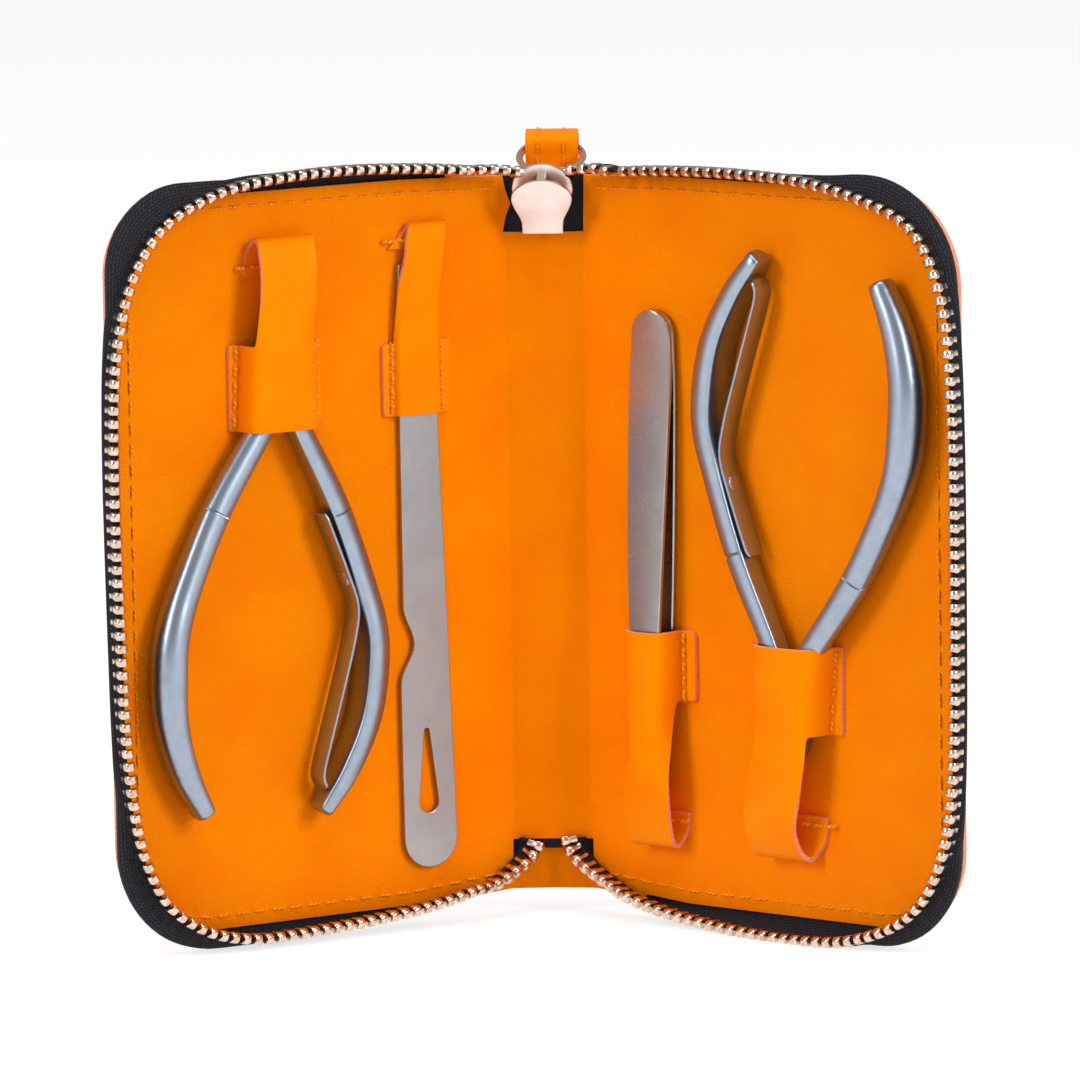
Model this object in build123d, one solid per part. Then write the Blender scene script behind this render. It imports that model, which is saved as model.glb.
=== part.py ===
from build123d import *
from math import cos, sin, radians
import os

os.makedirs("parts", exist_ok=True)

# ---------------------------------------------------------------- case, mm
OPEN_ANGLE = 34.3        # each cover leans this far forward of the spine plane
SPINE_HALF = 8.2         # spine centre to either fold axis
OUTER_T = 1.2            # outer leather
CORE_T = 0.7             # board, or the tape flange at the rim
LINING_T = 0.8
STACK_T = OUTER_T + CORE_T + LINING_T
BACK = -STACK_T / 2      # heights are measured from the fold axis, towards the inside
OUTER_TOP = BACK + OUTER_T
CORE_TOP = OUTER_TOP + CORE_T
INNER = STACK_T / 2
FOLD_GAP = 0.1           # cover end to the round spine bead

EDGE_V = 88.2            # fold axis to the fore edge of the cover
EDGE_Z = 72.6            # half height of the cover
CORNER_R = 20.0
SHOULDER = 24.0          # where the long edges start to dip towards the fold
FOLD_TOP = 71.8
FOLD_BOTTOM = 70.8
SPINE_TOP = 71.6
SPINE_BOTTOM = 70.7
LINING_INSET = 1.3
BOARD_INSET = 6.6
BOARD_START = 2.0
SPINE_BOARD_HALF = 56.0
NOTCH_TOP = SPINE_BOARD_HALF + 3.2      # lining stops here on the spine, showing the zip tape
NOTCH_BOTTOM = SPINE_BOARD_HALF + 4.6

# ---------------------------------------------------------------- zip, mm
PITCH = 2.55
ROW = SPINE_HALF         # height of the meeting plane of the two rows above each cover
TOOTH_LEN = 1.05         # along the row
TOOTH_TIP = 1.1          # past the meeting plane
TOOTH_LEG = 3.0          # before the meeting plane
TOOTH_WIDE = 1.1         # half thickness at the shoulders
TOOTH_NOSE = 0.45        # half thickness at the tip
TAPE_T = 0.5
TAPE_GRIP = 1.75         # tape edge to the meeting plane, inside the tooth fork
FORK_GAP = 0.08
FORK_END = TOOTH_LEG + 0.1
SAG = 0.03               # flat spans of the tape stay this close to its curve
FLANGE = 6.0             # depth of the tape between leather and lining
FOOT_INSET = 0.3
BELLY = 3.8              # height at which the tape wall bulges most
BULGE = 1.45
TURN_V = 12.0            # nearer the fold than this the zip leaves the cover wall

# ---------------------------------------------------------------- helpers


def outline(inset, start):
    """Cover outline in (v, z), inset from the leather edge."""
    top = EDGE_Z - inset
    return make_face(
        FilletPolyline(
            (start, FOLD_TOP - inset),
            (SHOULDER, top),
            (EDGE_V - inset, top),
            (EDGE_V - inset, -top),
            (SHOULDER, -top),
            (start, inset - FOLD_BOTTOM),
            radius=[0, 0, CORNER_R - inset, CORNER_R - inset, 0, 0],
            close=True,
        ).edges()
    )


def slab(face, low, high):
    """Extrude a (v, z) face between two heights above the fold axis."""
    return extrude(Plane.XZ.offset(low) * face, amount=high - low)


def box(x0, x1, y0, y1, z0, z1):
    centre = Pos((x0 + x1) / 2, (y0 + y1) / 2, (z0 + z1) / 2)
    return centre * Box(x1 - x0, y1 - y0, z1 - z0)


def on_cover(shape, side):
    """Move a shape drawn on the flat right-hand cover to its leaning cover."""
    if side < 0:
        shape = mirror(shape, about=Plane.YZ)
    hinge = Location((side * SPINE_HALF, BACK, 0))
    return hinge * Rot(0, 0, -side * OPEN_ANGLE) * shape


def cover_vector(v, height, z, side):
    """Direction with cover components, in the assembled case."""
    angle = radians(OPEN_ANGLE)
    x = v * cos(angle) - height * sin(angle)
    return Vector(side * x, -v * sin(angle) - height * cos(angle), z)


def cover_point(v, height, z, side):
    return cover_vector(v, height, z, side) + Vector(side * SPINE_HALF, BACK, 0)


def polygon(points):
    return make_face(Polyline(*points, close=True).edges())


nodes = {}

# ---------------------------------------------------------------- covers
fold_hollow = Cylinder(INNER + FOLD_GAP, 2 * EDGE_Z + 2)
cover_leather = slab(outline(0, 0.3), BACK, OUTER_TOP) - fold_hollow
cover_board = slab(outline(BOARD_INSET, BOARD_START), OUTER_TOP, CORE_TOP)
cover_lining = slab(outline(LINING_INSET, INNER + FOLD_GAP), CORE_TOP, INNER)
for name, side in (("left", -1), ("right", 1)):
    nodes[f"{name}_outer"] = on_cover(cover_leather, side)
    nodes[f"{name}_board"] = on_cover(cover_board, side)
    nodes[f"{name}_lining"] = on_cover(cover_lining, side)

# ---------------------------------------------------------------- spine
spine_plan = Rectangle(2 * SPINE_HALF, STACK_T)
for side in (-1, 1):
    spine_plan += Pos(side * SPINE_HALF, 0) * Circle(INNER)


def spine_layer(low, high, bottom, top):
    """Part of the round-edged spine between two heights and two levels."""
    strip = Pos(0, -(low + high) / 2) * Rectangle(4 * SPINE_HALF, high - low)
    return Pos(0, BACK, bottom) * extrude(spine_plan & strip, amount=top - bottom)


nodes["spine_outer"] = spine_layer(BACK, OUTER_TOP, -SPINE_BOTTOM, SPINE_TOP)
nodes["spine_board"] = spine_layer(OUTER_TOP, CORE_TOP, -SPINE_BOARD_HALF, SPINE_BOARD_HALF)
nodes["spine_lining"] = spine_layer(CORE_TOP, INNER, -NOTCH_BOTTOM, NOTCH_TOP)
TAPE_START = SPINE_BOARD_HALF + 0.3
nodes["spine_tape_top"] = spine_layer(OUTER_TOP, CORE_TOP, TAPE_START, SPINE_TOP - 0.4)

# two tapes part below the lining and leave the leather bare between them
tape_corner = polygon(
    [
        (SPINE_HALF, -TAPE_START),
        (1.9, -TAPE_START),
        (1.9, -NOTCH_BOTTOM - 1.0),
        (3.0, -NOTCH_BOTTOM - 3.2),
        (5.6, -NOTCH_BOTTOM - 5.3),
        (SPINE_HALF, -NOTCH_BOTTOM - 6.4),
    ]
)
right_half = Pos(0, BACK, 0) * slab(tape_corner, OUTER_TOP, CORE_TOP)
nodes["spine_tape_bottom"] = Compound(children=[right_half, mirror(right_half, about=Plane.YZ)])
nodes["zip_end_strip"] = box(-1.7, 1.7, BACK - CORE_TOP, BACK - OUTER_TOP, -NOTCH_BOTTOM - 2.0, -TAPE_START)

# ---------------------------------------------------------------- chain path
chain = Wire(
    FilletPolyline(
        (-2.4, 62.0),
        (2.0, 71.2),
        (28.0, 73.9),
        (91.3, 73.9),
        (92.5, 0.0),
        (91.3, -73.9),
        (24.0, -73.9),
        (-2.2, -62.5),
        radius=[6, 80, 32, 600, 32, 100],
    ).edges()
)
leather_rim = Wire(outline(0, 0.3).edges())


def rim_reach(point, tangent):
    """Distance from the leather edge out to the chain, across the chain."""
    outward = Vector(-tangent.Y, tangent.X, 0)
    probe = Edge.make_line(point - outward * 8, point + outward * 8)
    hits = [(Vector(*hit) - point).dot(outward) for hit in leather_rim.intersect(probe)]
    return -min(hits, key=abs)


def distance_at(v, first):
    """Distance along the chain at which it passes v, on its first or second half."""
    low = 0.0 if first else chain.length / 2
    high = chain.length / 2 if first else chain.length
    for _ in range(30):
        middle = (low + high) / 2
        beyond = chain.position_at(middle, PositionMode.LENGTH).X > v
        if beyond == first:
            high = middle
        else:
            low = middle
    return low


tape_from = distance_at(TURN_V, True)
tape_to = distance_at(TURN_V, False)


def row_frame(distance):
    """Plane across the flat cover's row: X towards the tooth tip, Y outwards."""
    point = chain.position_at(distance, PositionMode.LENGTH)
    tangent = chain.tangent_at(distance, PositionMode.LENGTH)
    frame = Plane(
        origin=(point.X, -ROW, point.Y),
        x_dir=(0, -1, 0),
        z_dir=(-tangent.X, 0, -tangent.Y),
    )
    return frame, rim_reach(point, tangent)


# ---------------------------------------------------------------- zip tapes
def tape_section(reach):
    """Tape wall and its flange, as (past the meeting plane, outwards)."""
    half = TAPE_T / 2
    belly = BULGE - 0.45 * max(0.0, reach - 1.3)
    return polygon(
        [
            (OUTER_TOP - ROW, -reach - FLANGE),
            (OUTER_TOP - ROW, -reach - FOOT_INSET),
            (BELLY - ROW, belly),
            (-FORK_END, half),
            (-TAPE_GRIP, half),
            (-TAPE_GRIP, -half),
            (-FORK_END, -half),
            (BELLY - ROW, belly - TAPE_T),
            (CORE_TOP - ROW, -reach - FOOT_INSET - TAPE_T),
            (CORE_TOP - ROW, -reach - FLANGE),
        ]
    )


places = [tape_from]
passed = 0.0
for piece in chain.edges():
    curved = piece.geom_type == GeomType.CIRCLE
    span = (8 * piece.radius * SAG) ** 0.5 if curved else piece.length
    count = int(piece.length / span) + 1
    places += [passed + piece.length * (i + 1) / count for i in range(count)]
    passed += piece.length
places = [place for place in places if tape_from <= place < tape_to - 1.0] + [tape_to]
sections = []
for place in places:
    frame, reach = row_frame(place)
    sections.append(frame * tape_section(reach))
cover_tape = loft(sections, ruled=True)
nodes["left_zip_tape"] = on_cover(cover_tape, -1)
nodes["right_zip_tape"] = on_cover(cover_tape, 1)

# ---------------------------------------------------------------- zip teeth
def forked_tooth(flare):
    """Tooth whose fork opens by the flare towards its legs, where the tape twists."""
    gap = FORK_GAP + 0.4 * flare
    fork = TAPE_T / 2 + gap
    throat = gap - TAPE_GRIP
    face = polygon(
        [
            (-TOOTH_LEG, TOOTH_WIDE),
            (-0.2, TOOTH_WIDE),
            (TOOTH_TIP, TOOTH_NOSE),
            (TOOTH_TIP, -TOOTH_NOSE),
            (-0.2, -TOOTH_WIDE),
            (-TOOTH_LEG, -TOOTH_WIDE),
            (-TOOTH_LEG, -fork - 0.6 * flare),
            (throat, -fork),
            (throat, fork),
            (-TOOTH_LEG, fork + 0.6 * flare),
        ]
    )
    return extrude(face, amount=TOOTH_LEN / 2, both=True)


tooth = forked_tooth(0)


def row_teeth(side, offset):
    """Teeth of one cover; the offset sets the two rows half a pitch apart."""
    first = int(tape_from / PITCH) + 1
    last = int(tape_to / PITCH - offset)
    steps = [(i + offset) * PITCH for i in range(first, last + 1)]
    return Compound(
        children=[on_cover(row_frame(step)[0].location * tooth, side) for step in steps]
    )


nodes["left_zip_teeth"] = row_teeth(-1, 0.0)
nodes["right_zip_teeth"] = row_teeth(1, 0.5)

# ---------------------------------------------------------------- slider
SLIDER_TILT = 25.2       # its plates lean back from upright
SLIDER_LEN = 13.4
SLIDER_DEEP = 4.7
PLATE_T = 1.0
MOUTH_HALF = 5.9
TAIL_HALF = 4.0
POST_HALF = 0.9
tail = Vector(0, BACK - 4.9, NOTCH_TOP + 0.1)
slider_frame = Plane(
    origin=tail,
    x_dir=(1, 0, 0),
    z_dir=(0, -cos(radians(SLIDER_TILT)), -sin(radians(SLIDER_TILT))),
)


def slider_plate(length):
    """Plate outline: narrow tail, hollow flanks, round shoulders, domed top."""
    right = Spline(
        (TAIL_HALF, 0),
        (TAIL_HALF + 0.25, 3.0),
        (MOUTH_HALF - 0.25, 6.9),
        (MOUTH_HALF, 8.8),
        (MOUTH_HALF - 1.4, length - 1.9),
        (0, length),
        tangents=[(0, 1), (-1, 0)],
    )
    edge = Line((0, 0), (TAIL_HALF, 0)) + right
    half = edge + mirror(edge, about=Plane.YZ)
    return make_face(half.edges())


inner_plate = extrude(slider_frame.offset(-PLATE_T) * slider_plate(SLIDER_LEN), amount=PLATE_T)
outer_plate = extrude(slider_frame.offset(-SLIDER_DEEP) * slider_plate(SLIDER_LEN), amount=PLATE_T)
post_face = Pos(0, SLIDER_LEN - 2.2) * Rectangle(2 * POST_HALF, 4.0)
post = extrude(slider_frame.offset(-SLIDER_DEEP) * post_face, amount=SLIDER_DEEP)
slider = inner_plate + outer_plate + post
RAIL_H = 0.8
for side in (-1, 1):
    rail_face = Pos(side * (TAIL_HALF - 0.45), 3.4) * Rectangle(0.8, 6.4)
    slider += extrude(slider_frame.offset(-PLATE_T - RAIL_H) * rail_face, amount=RAIL_H)
    slider += extrude(slider_frame.offset(PLATE_T - SLIDER_DEEP) * rail_face, amount=RAIL_H)
nodes["slider_body"] = slider

# ---------------------------------------------------------------- pull ring
WIRE_R = 0.7
RING_R = 6.2
RING_LEAN = 24.0
RING_X = 1.5
BAIL_HALF = 1.1
BAIL_HOLE = 0.95
ring_pin = Vector(RING_X, BACK - 4.1, 71.1)
lean = Vector(0, cos(radians(RING_LEAN)), sin(radians(RING_LEAN)))
ring_axis = Vector(0, -sin(radians(RING_LEAN)), cos(radians(RING_LEAN)))
ring_centre = ring_pin + lean * RING_R
ring_plane = Plane(origin=ring_centre, x_dir=(1, 0, 0), z_dir=ring_axis)
nodes["pull_ring"] = ring_plane.location * Torus(RING_R, WIRE_R)

pin = slider_frame.to_local_coords(ring_pin)
back_face = -SLIDER_DEEP
bail_reach = back_face - pin.Z
bail_plane = Plane(
    origin=ring_pin - Vector(BAIL_HALF, 0, 0), x_dir=slider_frame.y_dir, z_dir=(1, 0, 0)
)
BAIL_R = BAIL_HOLE + 0.75
bail_face = Circle(BAIL_R) + Pos(0, bail_reach / 2) * Rectangle(2 * BAIL_R, bail_reach)
bail_face -= Circle(BAIL_HOLE)
bail_face &= Pos(0, bail_reach - 4) * Rectangle(8, 8)
nodes["slider_bail"] = extrude(bail_plane * bail_face, amount=2 * BAIL_HALF)

# ---------------------------------------------------------------- pull tab
TAB_HALF = 5.1
TAB_T = 0.75
TAB_ROLL = 2.6           # inside radius of the roll round the ring
TAB_END = 44.0
TAB_OFF = 2.55           # strap hangs this far behind the spine
TAB_JOIN = 70.8
tab_axis = ring_centre + lean * 4.45
roll = Pos(tab_axis.Y, tab_axis.Z) * Circle(TAB_ROLL + TAB_T)
hollow = Pos(tab_axis.Y, tab_axis.Z) * Circle(TAB_ROLL)
strap_y = TAB_OFF + TAB_T
throat_tip = Pos(strap_y, TAB_JOIN) * Circle(0.05)
tab_outer = make_hull((roll + Pos(strap_y, TAB_JOIN) * Circle(TAB_T)).edges())
tab_inner = make_hull((hollow + throat_tip).edges())
strap_mid = (TAB_JOIN + TAB_END) / 2
tab_strap = Pos(strap_y, strap_mid) * Rectangle(2 * TAB_T, TAB_JOIN - TAB_END)
tab_face = tab_outer + tab_strap - tab_inner
tab_plane = Plane(origin=(RING_X - TAB_HALF, 0, 0), x_dir=(0, 1, 0), z_dir=(1, 0, 0))
tab = extrude(tab_plane * tab_face, amount=2 * TAB_HALF)
tab_end = Pos(RING_X, 0, (TAB_END + 90) / 2) * extrude(
    Plane.XZ.offset(-20) * RectangleRounded(2 * TAB_HALF, 90 - TAB_END, 3.0), amount=40
)
nodes["pull_tab"] = tab & tab_end

# ---------------------------------------------------------------- zip turns
TURN_SPANS = 18
TURN_GAP = 0.5
TURN_CLEAR = 0.2
TURN_FLARE = 0.5
twisted_tooth = forked_tooth(TURN_FLARE)


def turn_frames(side, points, ends, head_end, steps):
    """Frames along a row that leaves the cover wall and lies down on the spine."""
    top = points[0].Z > 0
    path = Spline(*points, tangents=ends)
    head_start = cover_vector(0, 1, 0, side)
    frames = []
    for step in steps:
        tangent = path.tangent_at(step)
        head = head_start * (1 - step) + head_end * step
        head = (head - tangent * head.dot(tangent)).normalized()
        flip = 1 if (side > 0) == top else -1
        frames.append(Plane(origin=path.position_at(step), x_dir=head, z_dir=tangent * flip))
    return path.length, frames


def foot_reach(frame, reach, side):
    """How far below the row the tape foot may lie before it meets lining or spine."""
    head = frame.x_dir
    row = frame.origin - Vector(side * SPINE_HALF, BACK, 0)
    for inward, surface in ((cover_vector(0, 1, 0, side), INNER), (Vector(0, -1, 0), CORE_TOP)):
        sink = head.dot(inward)
        if sink > TURN_CLEAR:
            room = surface + TURN_CLEAR + TAPE_T / 2 - row.dot(inward)
            reach = max(reach, room / sink)
    return min(reach, -FORK_END - TURN_CLEAR)


def turn_section(step, foot_start, foot_end, frame, side):
    """Tape strip from the tooth fork down to its foot, flattening along the turn."""
    half = TAPE_T / 2
    foot = [a + (b - a) * step for a, b in zip(foot_start, foot_end)]
    foot[0] = foot_reach(frame, foot[0], side)
    belly = (BULGE - half) * (1 - step)
    middle = (foot[0] - FORK_END) / 2
    return polygon(
        [
            (foot[0], foot[1] + half),
            (middle, belly + half),
            (-FORK_END, half),
            (-TAPE_GRIP, half),
            (-TAPE_GRIP, -half),
            (-FORK_END, -half),
            (middle, belly - half),
            (foot[0], foot[1] - half),
        ]
    )



def build_turn(end_name, start, points, tangent_end, foot_end, bare):
    """One corner of the zip between a cover and the spine; the last bare pitches have no teeth."""
    point = chain.position_at(start, PositionMode.LENGTH)
    tangent = chain.tangent_at(start, PositionMode.LENGTH)
    reach = rim_reach(point, tangent)
    away = 1 if start > chain.length / 2 else -1
    foot_start = (INNER + 0.2 - ROW, -reach - FOOT_INSET - TAPE_T / 2)
    steps = [i / TURN_SPANS for i in range(TURN_SPANS + 1)]
    for side_name, side, offset in (("right", 1, 0.9), ("left", -1, 0.4)):
        line = [cover_point(point.X, ROW, point.Y, side)]
        line += [Vector(side * x, y + BACK, z) for x, y, z in points]
        x_end, y_end, z_end = tangent_end
        ends = [cover_vector(tangent.X, 0, tangent.Y, side) * away]
        ends.append(Vector(side * x_end, y_end, z_end))
        head_end = Vector(-side, 0, 0)
        length, frames = turn_frames(side, line, ends, head_end, steps)
        if side > 0:
            tape = loft(
                [
                    frame * turn_section(step, foot_start, foot_end, frame, side)
                    for step, frame in zip(steps, frames)
                ],
                ruled=True,
            )
        else:
            tape = mirror(tape, about=Plane.YZ)
        nodes[f"{side_name}_{end_name}_turn_tape"] = tape
        count = int(length / PITCH - bare)
        tooth_steps = [(i + offset) * PITCH / length for i in range(count)]
        frames = turn_frames(side, line, ends, head_end, tooth_steps)[1]
        nodes[f"{side_name}_{end_name}_turn_teeth"] = Compound(
            children=[frame.location * twisted_tooth for frame in frames]
        )


build_turn(
    "top",
    tape_from - TURN_GAP,
    [(9.4, -11.3, 72.7), (6.2, -9.8, 72.4), (3.4, -8.6, 71.9)],
    (-0.6, 0.6, -0.5),
    (-4.2, 0.0),
    bare=0,
)
build_turn(
    "bottom",
    tape_to + TURN_GAP,
    [(10.6, -10.2, -68.4), (5.6, -5.4, -65.7), (2.9, -3.0, -63.4), (1.9, -2.4, -61.0)],
    (-0.2, 0.1, 1.0),
    (-4.6, 0.0),
    bare=0.35,
)

# ---------------------------------------------------------------- nippers
HUB_R = 6.0
NIPPER_T = 5.4
GRIP_T = 7.2             # handles flare to this across the tool
NIPPER_LOW = INNER + 0.3
NIPPER_MID = NIPPER_LOW + GRIP_T / 2
LAP_GAP = 0.1
RIVET_R = 1.5
RIVET_GAP = 0.05
RIVET_PROUD = 0.1
SHANK_R = 0.7
SCREW_R = 1.7
SCREW_HEAD = 0.9
SPRING_T = 0.6
SPRING_WIDE = 4.2
SCREW_AT = 38.8
JAW_TIP_T = 2.6
# handle stations: sideways, along, width, thickness
HANDLE = [
    (2.6, 4.5, 4.0, NIPPER_T),
    (4.2, 9.0, 3.6, NIPPER_T),
    (12.2, 23.0, 3.8, NIPPER_T),
    (17.6, 35.5, 3.6, GRIP_T - 1.2),
    (21.6, 47.0, 4.0, GRIP_T),
    (22.4, 56.0, 4.6, GRIP_T),
    (21.2, 66.0, 4.2, GRIP_T - 0.5),
    (17.5, 75.5, 3.4, GRIP_T - 1.5),
    (12.8, 83.0, 2.2, GRIP_T - 2.8),
]
SPRING = [
    (12.4, 30.5),
    (15.7, 36.9),
    (18.1, 43.4),
    (17.6, 50.0),
    (15.5, 60.0),
    (12.8, 71.8),
    (12.0, 76.5),
    (13.0, 79.0),
]
JAW = [(0.35, -4.6), (1.35, -17.0), (2.0, -17.0), (4.6, -10.5), (5.9, -3.0), (3.0, -1.0)]


def lever(hand, layer):
    """One nipper half: handle on the given hand, jaw across the pivot, half-lap hub."""
    spine_line = Spline(*[(hand * a, t) for a, t, _, _ in HANDLE])
    slices = []
    for a, t, wide, thick in HANDLE:
        tangent = spine_line.tangent_at(spine_line.param_at_point((hand * a, t, 0)))
        outward = Vector(tangent.Y, -tangent.X, 0) * hand
        inner = (-wide / 2, thick / 2)
        shape = Line((-wide / 2, -thick / 2), inner) + Line(inner, (0, thick / 2))
        shape += ThreePointArc((0, thick / 2), (wide / 2, 0), (0, -thick / 2))
        shape += Line((0, -thick / 2), (-wide / 2, -thick / 2))
        section = Plane(origin=(hand * a, t, 0), x_dir=outward, z_dir=tangent)
        slices.append(section * make_face(shape.edges()))
    body = loft(slices)
    body += Cylinder(HUB_R, NIPPER_T)
    jaw = polygon([(-hand * a, t) for a, t in JAW])
    wedge = polygon(
        [
            (JAW[-1][1], NIPPER_T / 2),
            (JAW[0][1], NIPPER_T / 2),
            (JAW[1][1], JAW_TIP_T / 2),
            (JAW[1][1], -JAW_TIP_T / 2),
            (JAW[0][1], -NIPPER_T / 2),
            (JAW[-1][1], -NIPPER_T / 2),
        ]
    )
    body += extrude(jaw, amount=NIPPER_T / 2, both=True) & extrude(
        Plane.YZ * wedge, amount=2 * HUB_R, both=True
    )
    other = Cylinder(HUB_R + LAP_GAP, NIPPER_T)
    other = Pos(0, 0, -layer * (NIPPER_T / 2 - LAP_GAP / 4)) * other
    return body - other


def nipper(layer):
    """Pieces of one nipper about its pivot: X across, Y along, Z out of the cover."""
    near = lever(-1, layer)
    far = lever(1, -layer)
    near -= Cylinder(RIVET_R, 2 * NIPPER_T)
    far -= Cylinder(RIVET_R + RIVET_GAP, 2 * NIPPER_T)
    rivet = Cylinder(RIVET_R, NIPPER_T + 2 * RIVET_PROUD)
    leaf_line = Spline(*[(-a, t) for a, t in SPRING])
    leaf = extrude(trace(leaf_line, SPRING_T), amount=SPRING_WIDE / 2, both=True)
    spine_line = Spline(*[(-a, t) for a, t, _, _ in HANDLE])
    low, high = 0.0, 1.0
    for _ in range(20):
        middle = (low + high) / 2
        if spine_line.position_at(middle).Y < SCREW_AT:
            low = middle
        else:
            high = middle
    seat = spine_line.position_at(low)
    along = spine_line.tangent_at(low)
    inward = Vector(along.Y, -along.X, 0)
    screw_plane = Plane(origin=seat, x_dir=along, z_dir=inward)
    shank = extrude(screw_plane.offset(0.3) * Circle(SHANK_R), amount=2.9)
    head = extrude(screw_plane.offset(2.75) * Circle(SCREW_R), amount=SCREW_HEAD)
    near -= shank
    leaf -= shank
    return {
        "handle_a": near,
        "handle_b": far,
        "pivot": rivet,
        "leaf_spring": leaf,
        "spring_screw": shank + head,
    }


def tool_frame(v, z, tilt, up):
    """Plane on the flat cover: X across the tool, Y along its handles."""
    angle = radians(tilt)
    along = Vector(sin(angle), 0, up * cos(angle))
    return Plane(
        origin=(v, -NIPPER_MID, z),
        x_dir=Vector(cos(angle), 0, -up * sin(angle)),
        z_dir=Vector(cos(angle), 0, -up * sin(angle)).cross(along),
    )


LEFT_NIPPER = (53.2, 34.6)
LEFT_TILT = 4.06
RIGHT_NIPPER = (51.3, -27.0)
RIGHT_TILT = 6.6
left_tool = tool_frame(*LEFT_NIPPER, LEFT_TILT, -1)
for piece, shape in nipper(-1).items():
    nodes[f"left_nipper_{piece}"] = on_cover(left_tool.location * shape, -1)
right_tool = tool_frame(*RIGHT_NIPPER, RIGHT_TILT, 1)
for piece, shape in nipper(-1).items():
    nodes[f"right_nipper_{piece}"] = on_cover(right_tool.location * shape, 1)

# ---------------------------------------------------------------- nail file
FILE_LOW = INNER + 0.25
FILE_T = 1.0
file_edge = Line((25.3, 55.0), (25.5, 25.6)) + Line((25.5, 25.6), (25.4, -12.0))
file_edge += Spline((25.4, -12.0), (23.1, -19.6), (26.2, -27.2), tangents=[(0, -1), (0, -1)])
file_edge += Line((26.2, -27.2), (25.9, -58.0))
file_edge += ThreePointArc((25.9, -58.0), (20.1, -63.9), (14.1, -58.0))
file_edge += Line((14.1, -58.0), (17.0, 24.9)) + Line((17.0, 24.9), (17.8, 55.0))
file_edge += Line((17.8, 55.0), (25.3, 55.0))
file_face = make_face(file_edge.edges())
SLOT_R = 2.2
slot_round = Pos(20.3, -50.9) * Circle(SLOT_R)
slot_point = Pos(20.6, -36.9) * Circle(0.6)
file_face -= make_hull((slot_round + slot_point).edges())
nodes["nail_file"] = on_cover(slab(file_face, FILE_LOW, FILE_LOW + FILE_T), -1)

# ---------------------------------------------------------------- tweezers
TWEEZER_V = 18.0
ARM_T = 1.1
ARM_LOW = INNER + 0.3
WELD_Z = 38.0
arm_plan = Pos(TWEEZER_V, 0) * make_face(
    (
        ThreePointArc((4.6, 40.7), (0, 45.3), (-4.6, 40.7))
        + Spline((-4.6, 40.7), (-4.85, 26.0), (-3.55, -17.7), (-1.0, -49.0))
        + Line((-1.0, -49.0), (1.0, -49.0))
        + Spline((1.0, -49.0), (3.55, -17.7), (4.85, 26.0), (4.6, 40.7))
    ).edges()
)
arm_column = slab(arm_plan, 0, 12)


def tweezer_arm(line):
    """Arm bent along a (height, z) line, with the plan outline of the tweezers."""
    bent = trace(line, ARM_T)
    side_plane = Plane(origin=(TWEEZER_V - 6, 0, 0), x_dir=(0, -1, 0), z_dir=(-1, 0, 0))
    return extrude(side_plane * bent, amount=-12) & arm_column


arm_mid = ARM_LOW + ARM_T / 2
back_line = Polyline((arm_mid, 46.0), (arm_mid, -50.0))
front_line = Line((arm_mid + ARM_T, 46.0), (arm_mid + ARM_T, WELD_Z)) + Spline(
    (arm_mid + ARM_T, WELD_Z),
    (arm_mid + 2.5, 20.0),
    (arm_mid + 4.5, -18.0),
    (arm_mid + 3.4, -50.0),
    tangents=[(0.035, -1), (-0.1, -1)],
)
nodes["tweezers_back_arm"] = on_cover(tweezer_arm(back_line), 1)
nodes["tweezers_front_arm"] = on_cover(tweezer_arm(front_line), 1)

# ---------------------------------------------------------------- holders
HOLDER_T = 0.75
GLUED = INNER + HOLDER_T / 2
FLAP_GAP = 0.05
FOLD_LEN = 4.5


def arch(tab, wall, crown, z):
    """Section of a leather loop glued down at both tabs."""
    line = FilletPolyline(
        (tab[0], -GLUED),
        (wall[0] - HOLDER_T / 2, -GLUED),
        (wall[0] - HOLDER_T / 2, -crown),
        (wall[1] + HOLDER_T / 2, -crown),
        (wall[1] + HOLDER_T / 2, -GLUED),
        (tab[1], -GLUED),
        radius=[0.5, 0.9, 0.9, 0.5],
    )
    return Pos(0, 0, z) * trace(line, HOLDER_T)


def holder(mouth, depth, tab, wall, deep_wall, roof, strap_plan, slope_end, low_roof, apex, flap_end):
    """Leather loop over a tool with a strap folded down past the tool's end."""
    into = 1 if apex > mouth else -1
    crown = roof + HOLDER_T / 2
    loop = loft(
        [arch(tab, wall, crown, mouth), arch(tab, deep_wall, crown, mouth + into * depth)],
        ruled=True,
    )
    rest = GLUED + HOLDER_T + FLAP_GAP
    side_line = FilletPolyline(
        (crown, mouth + into * depth * 0.6),
        (crown, mouth + into * depth),
        (low_roof, slope_end),
        (rest, apex - into * FOLD_LEN),
        (rest, apex),
        radius=1.0,
    )
    side_plane = Plane(origin=(0, 0, 0), x_dir=(0, -1, 0), z_dir=(-1, 0, 0))
    strap = extrude(side_plane * trace(side_line, HOLDER_T), amount=-EDGE_V)
    strap += box(0, EDGE_V, -INNER - HOLDER_T, -INNER, *sorted((flap_end, apex)))
    fold = (apex - into * HOLDER_T, apex)
    strap += box(0, EDGE_V, -rest, -INNER, *sorted(fold))
    strap &= slab(polygon(strap_plan), 0, 12)
    return loop + strap


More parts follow.
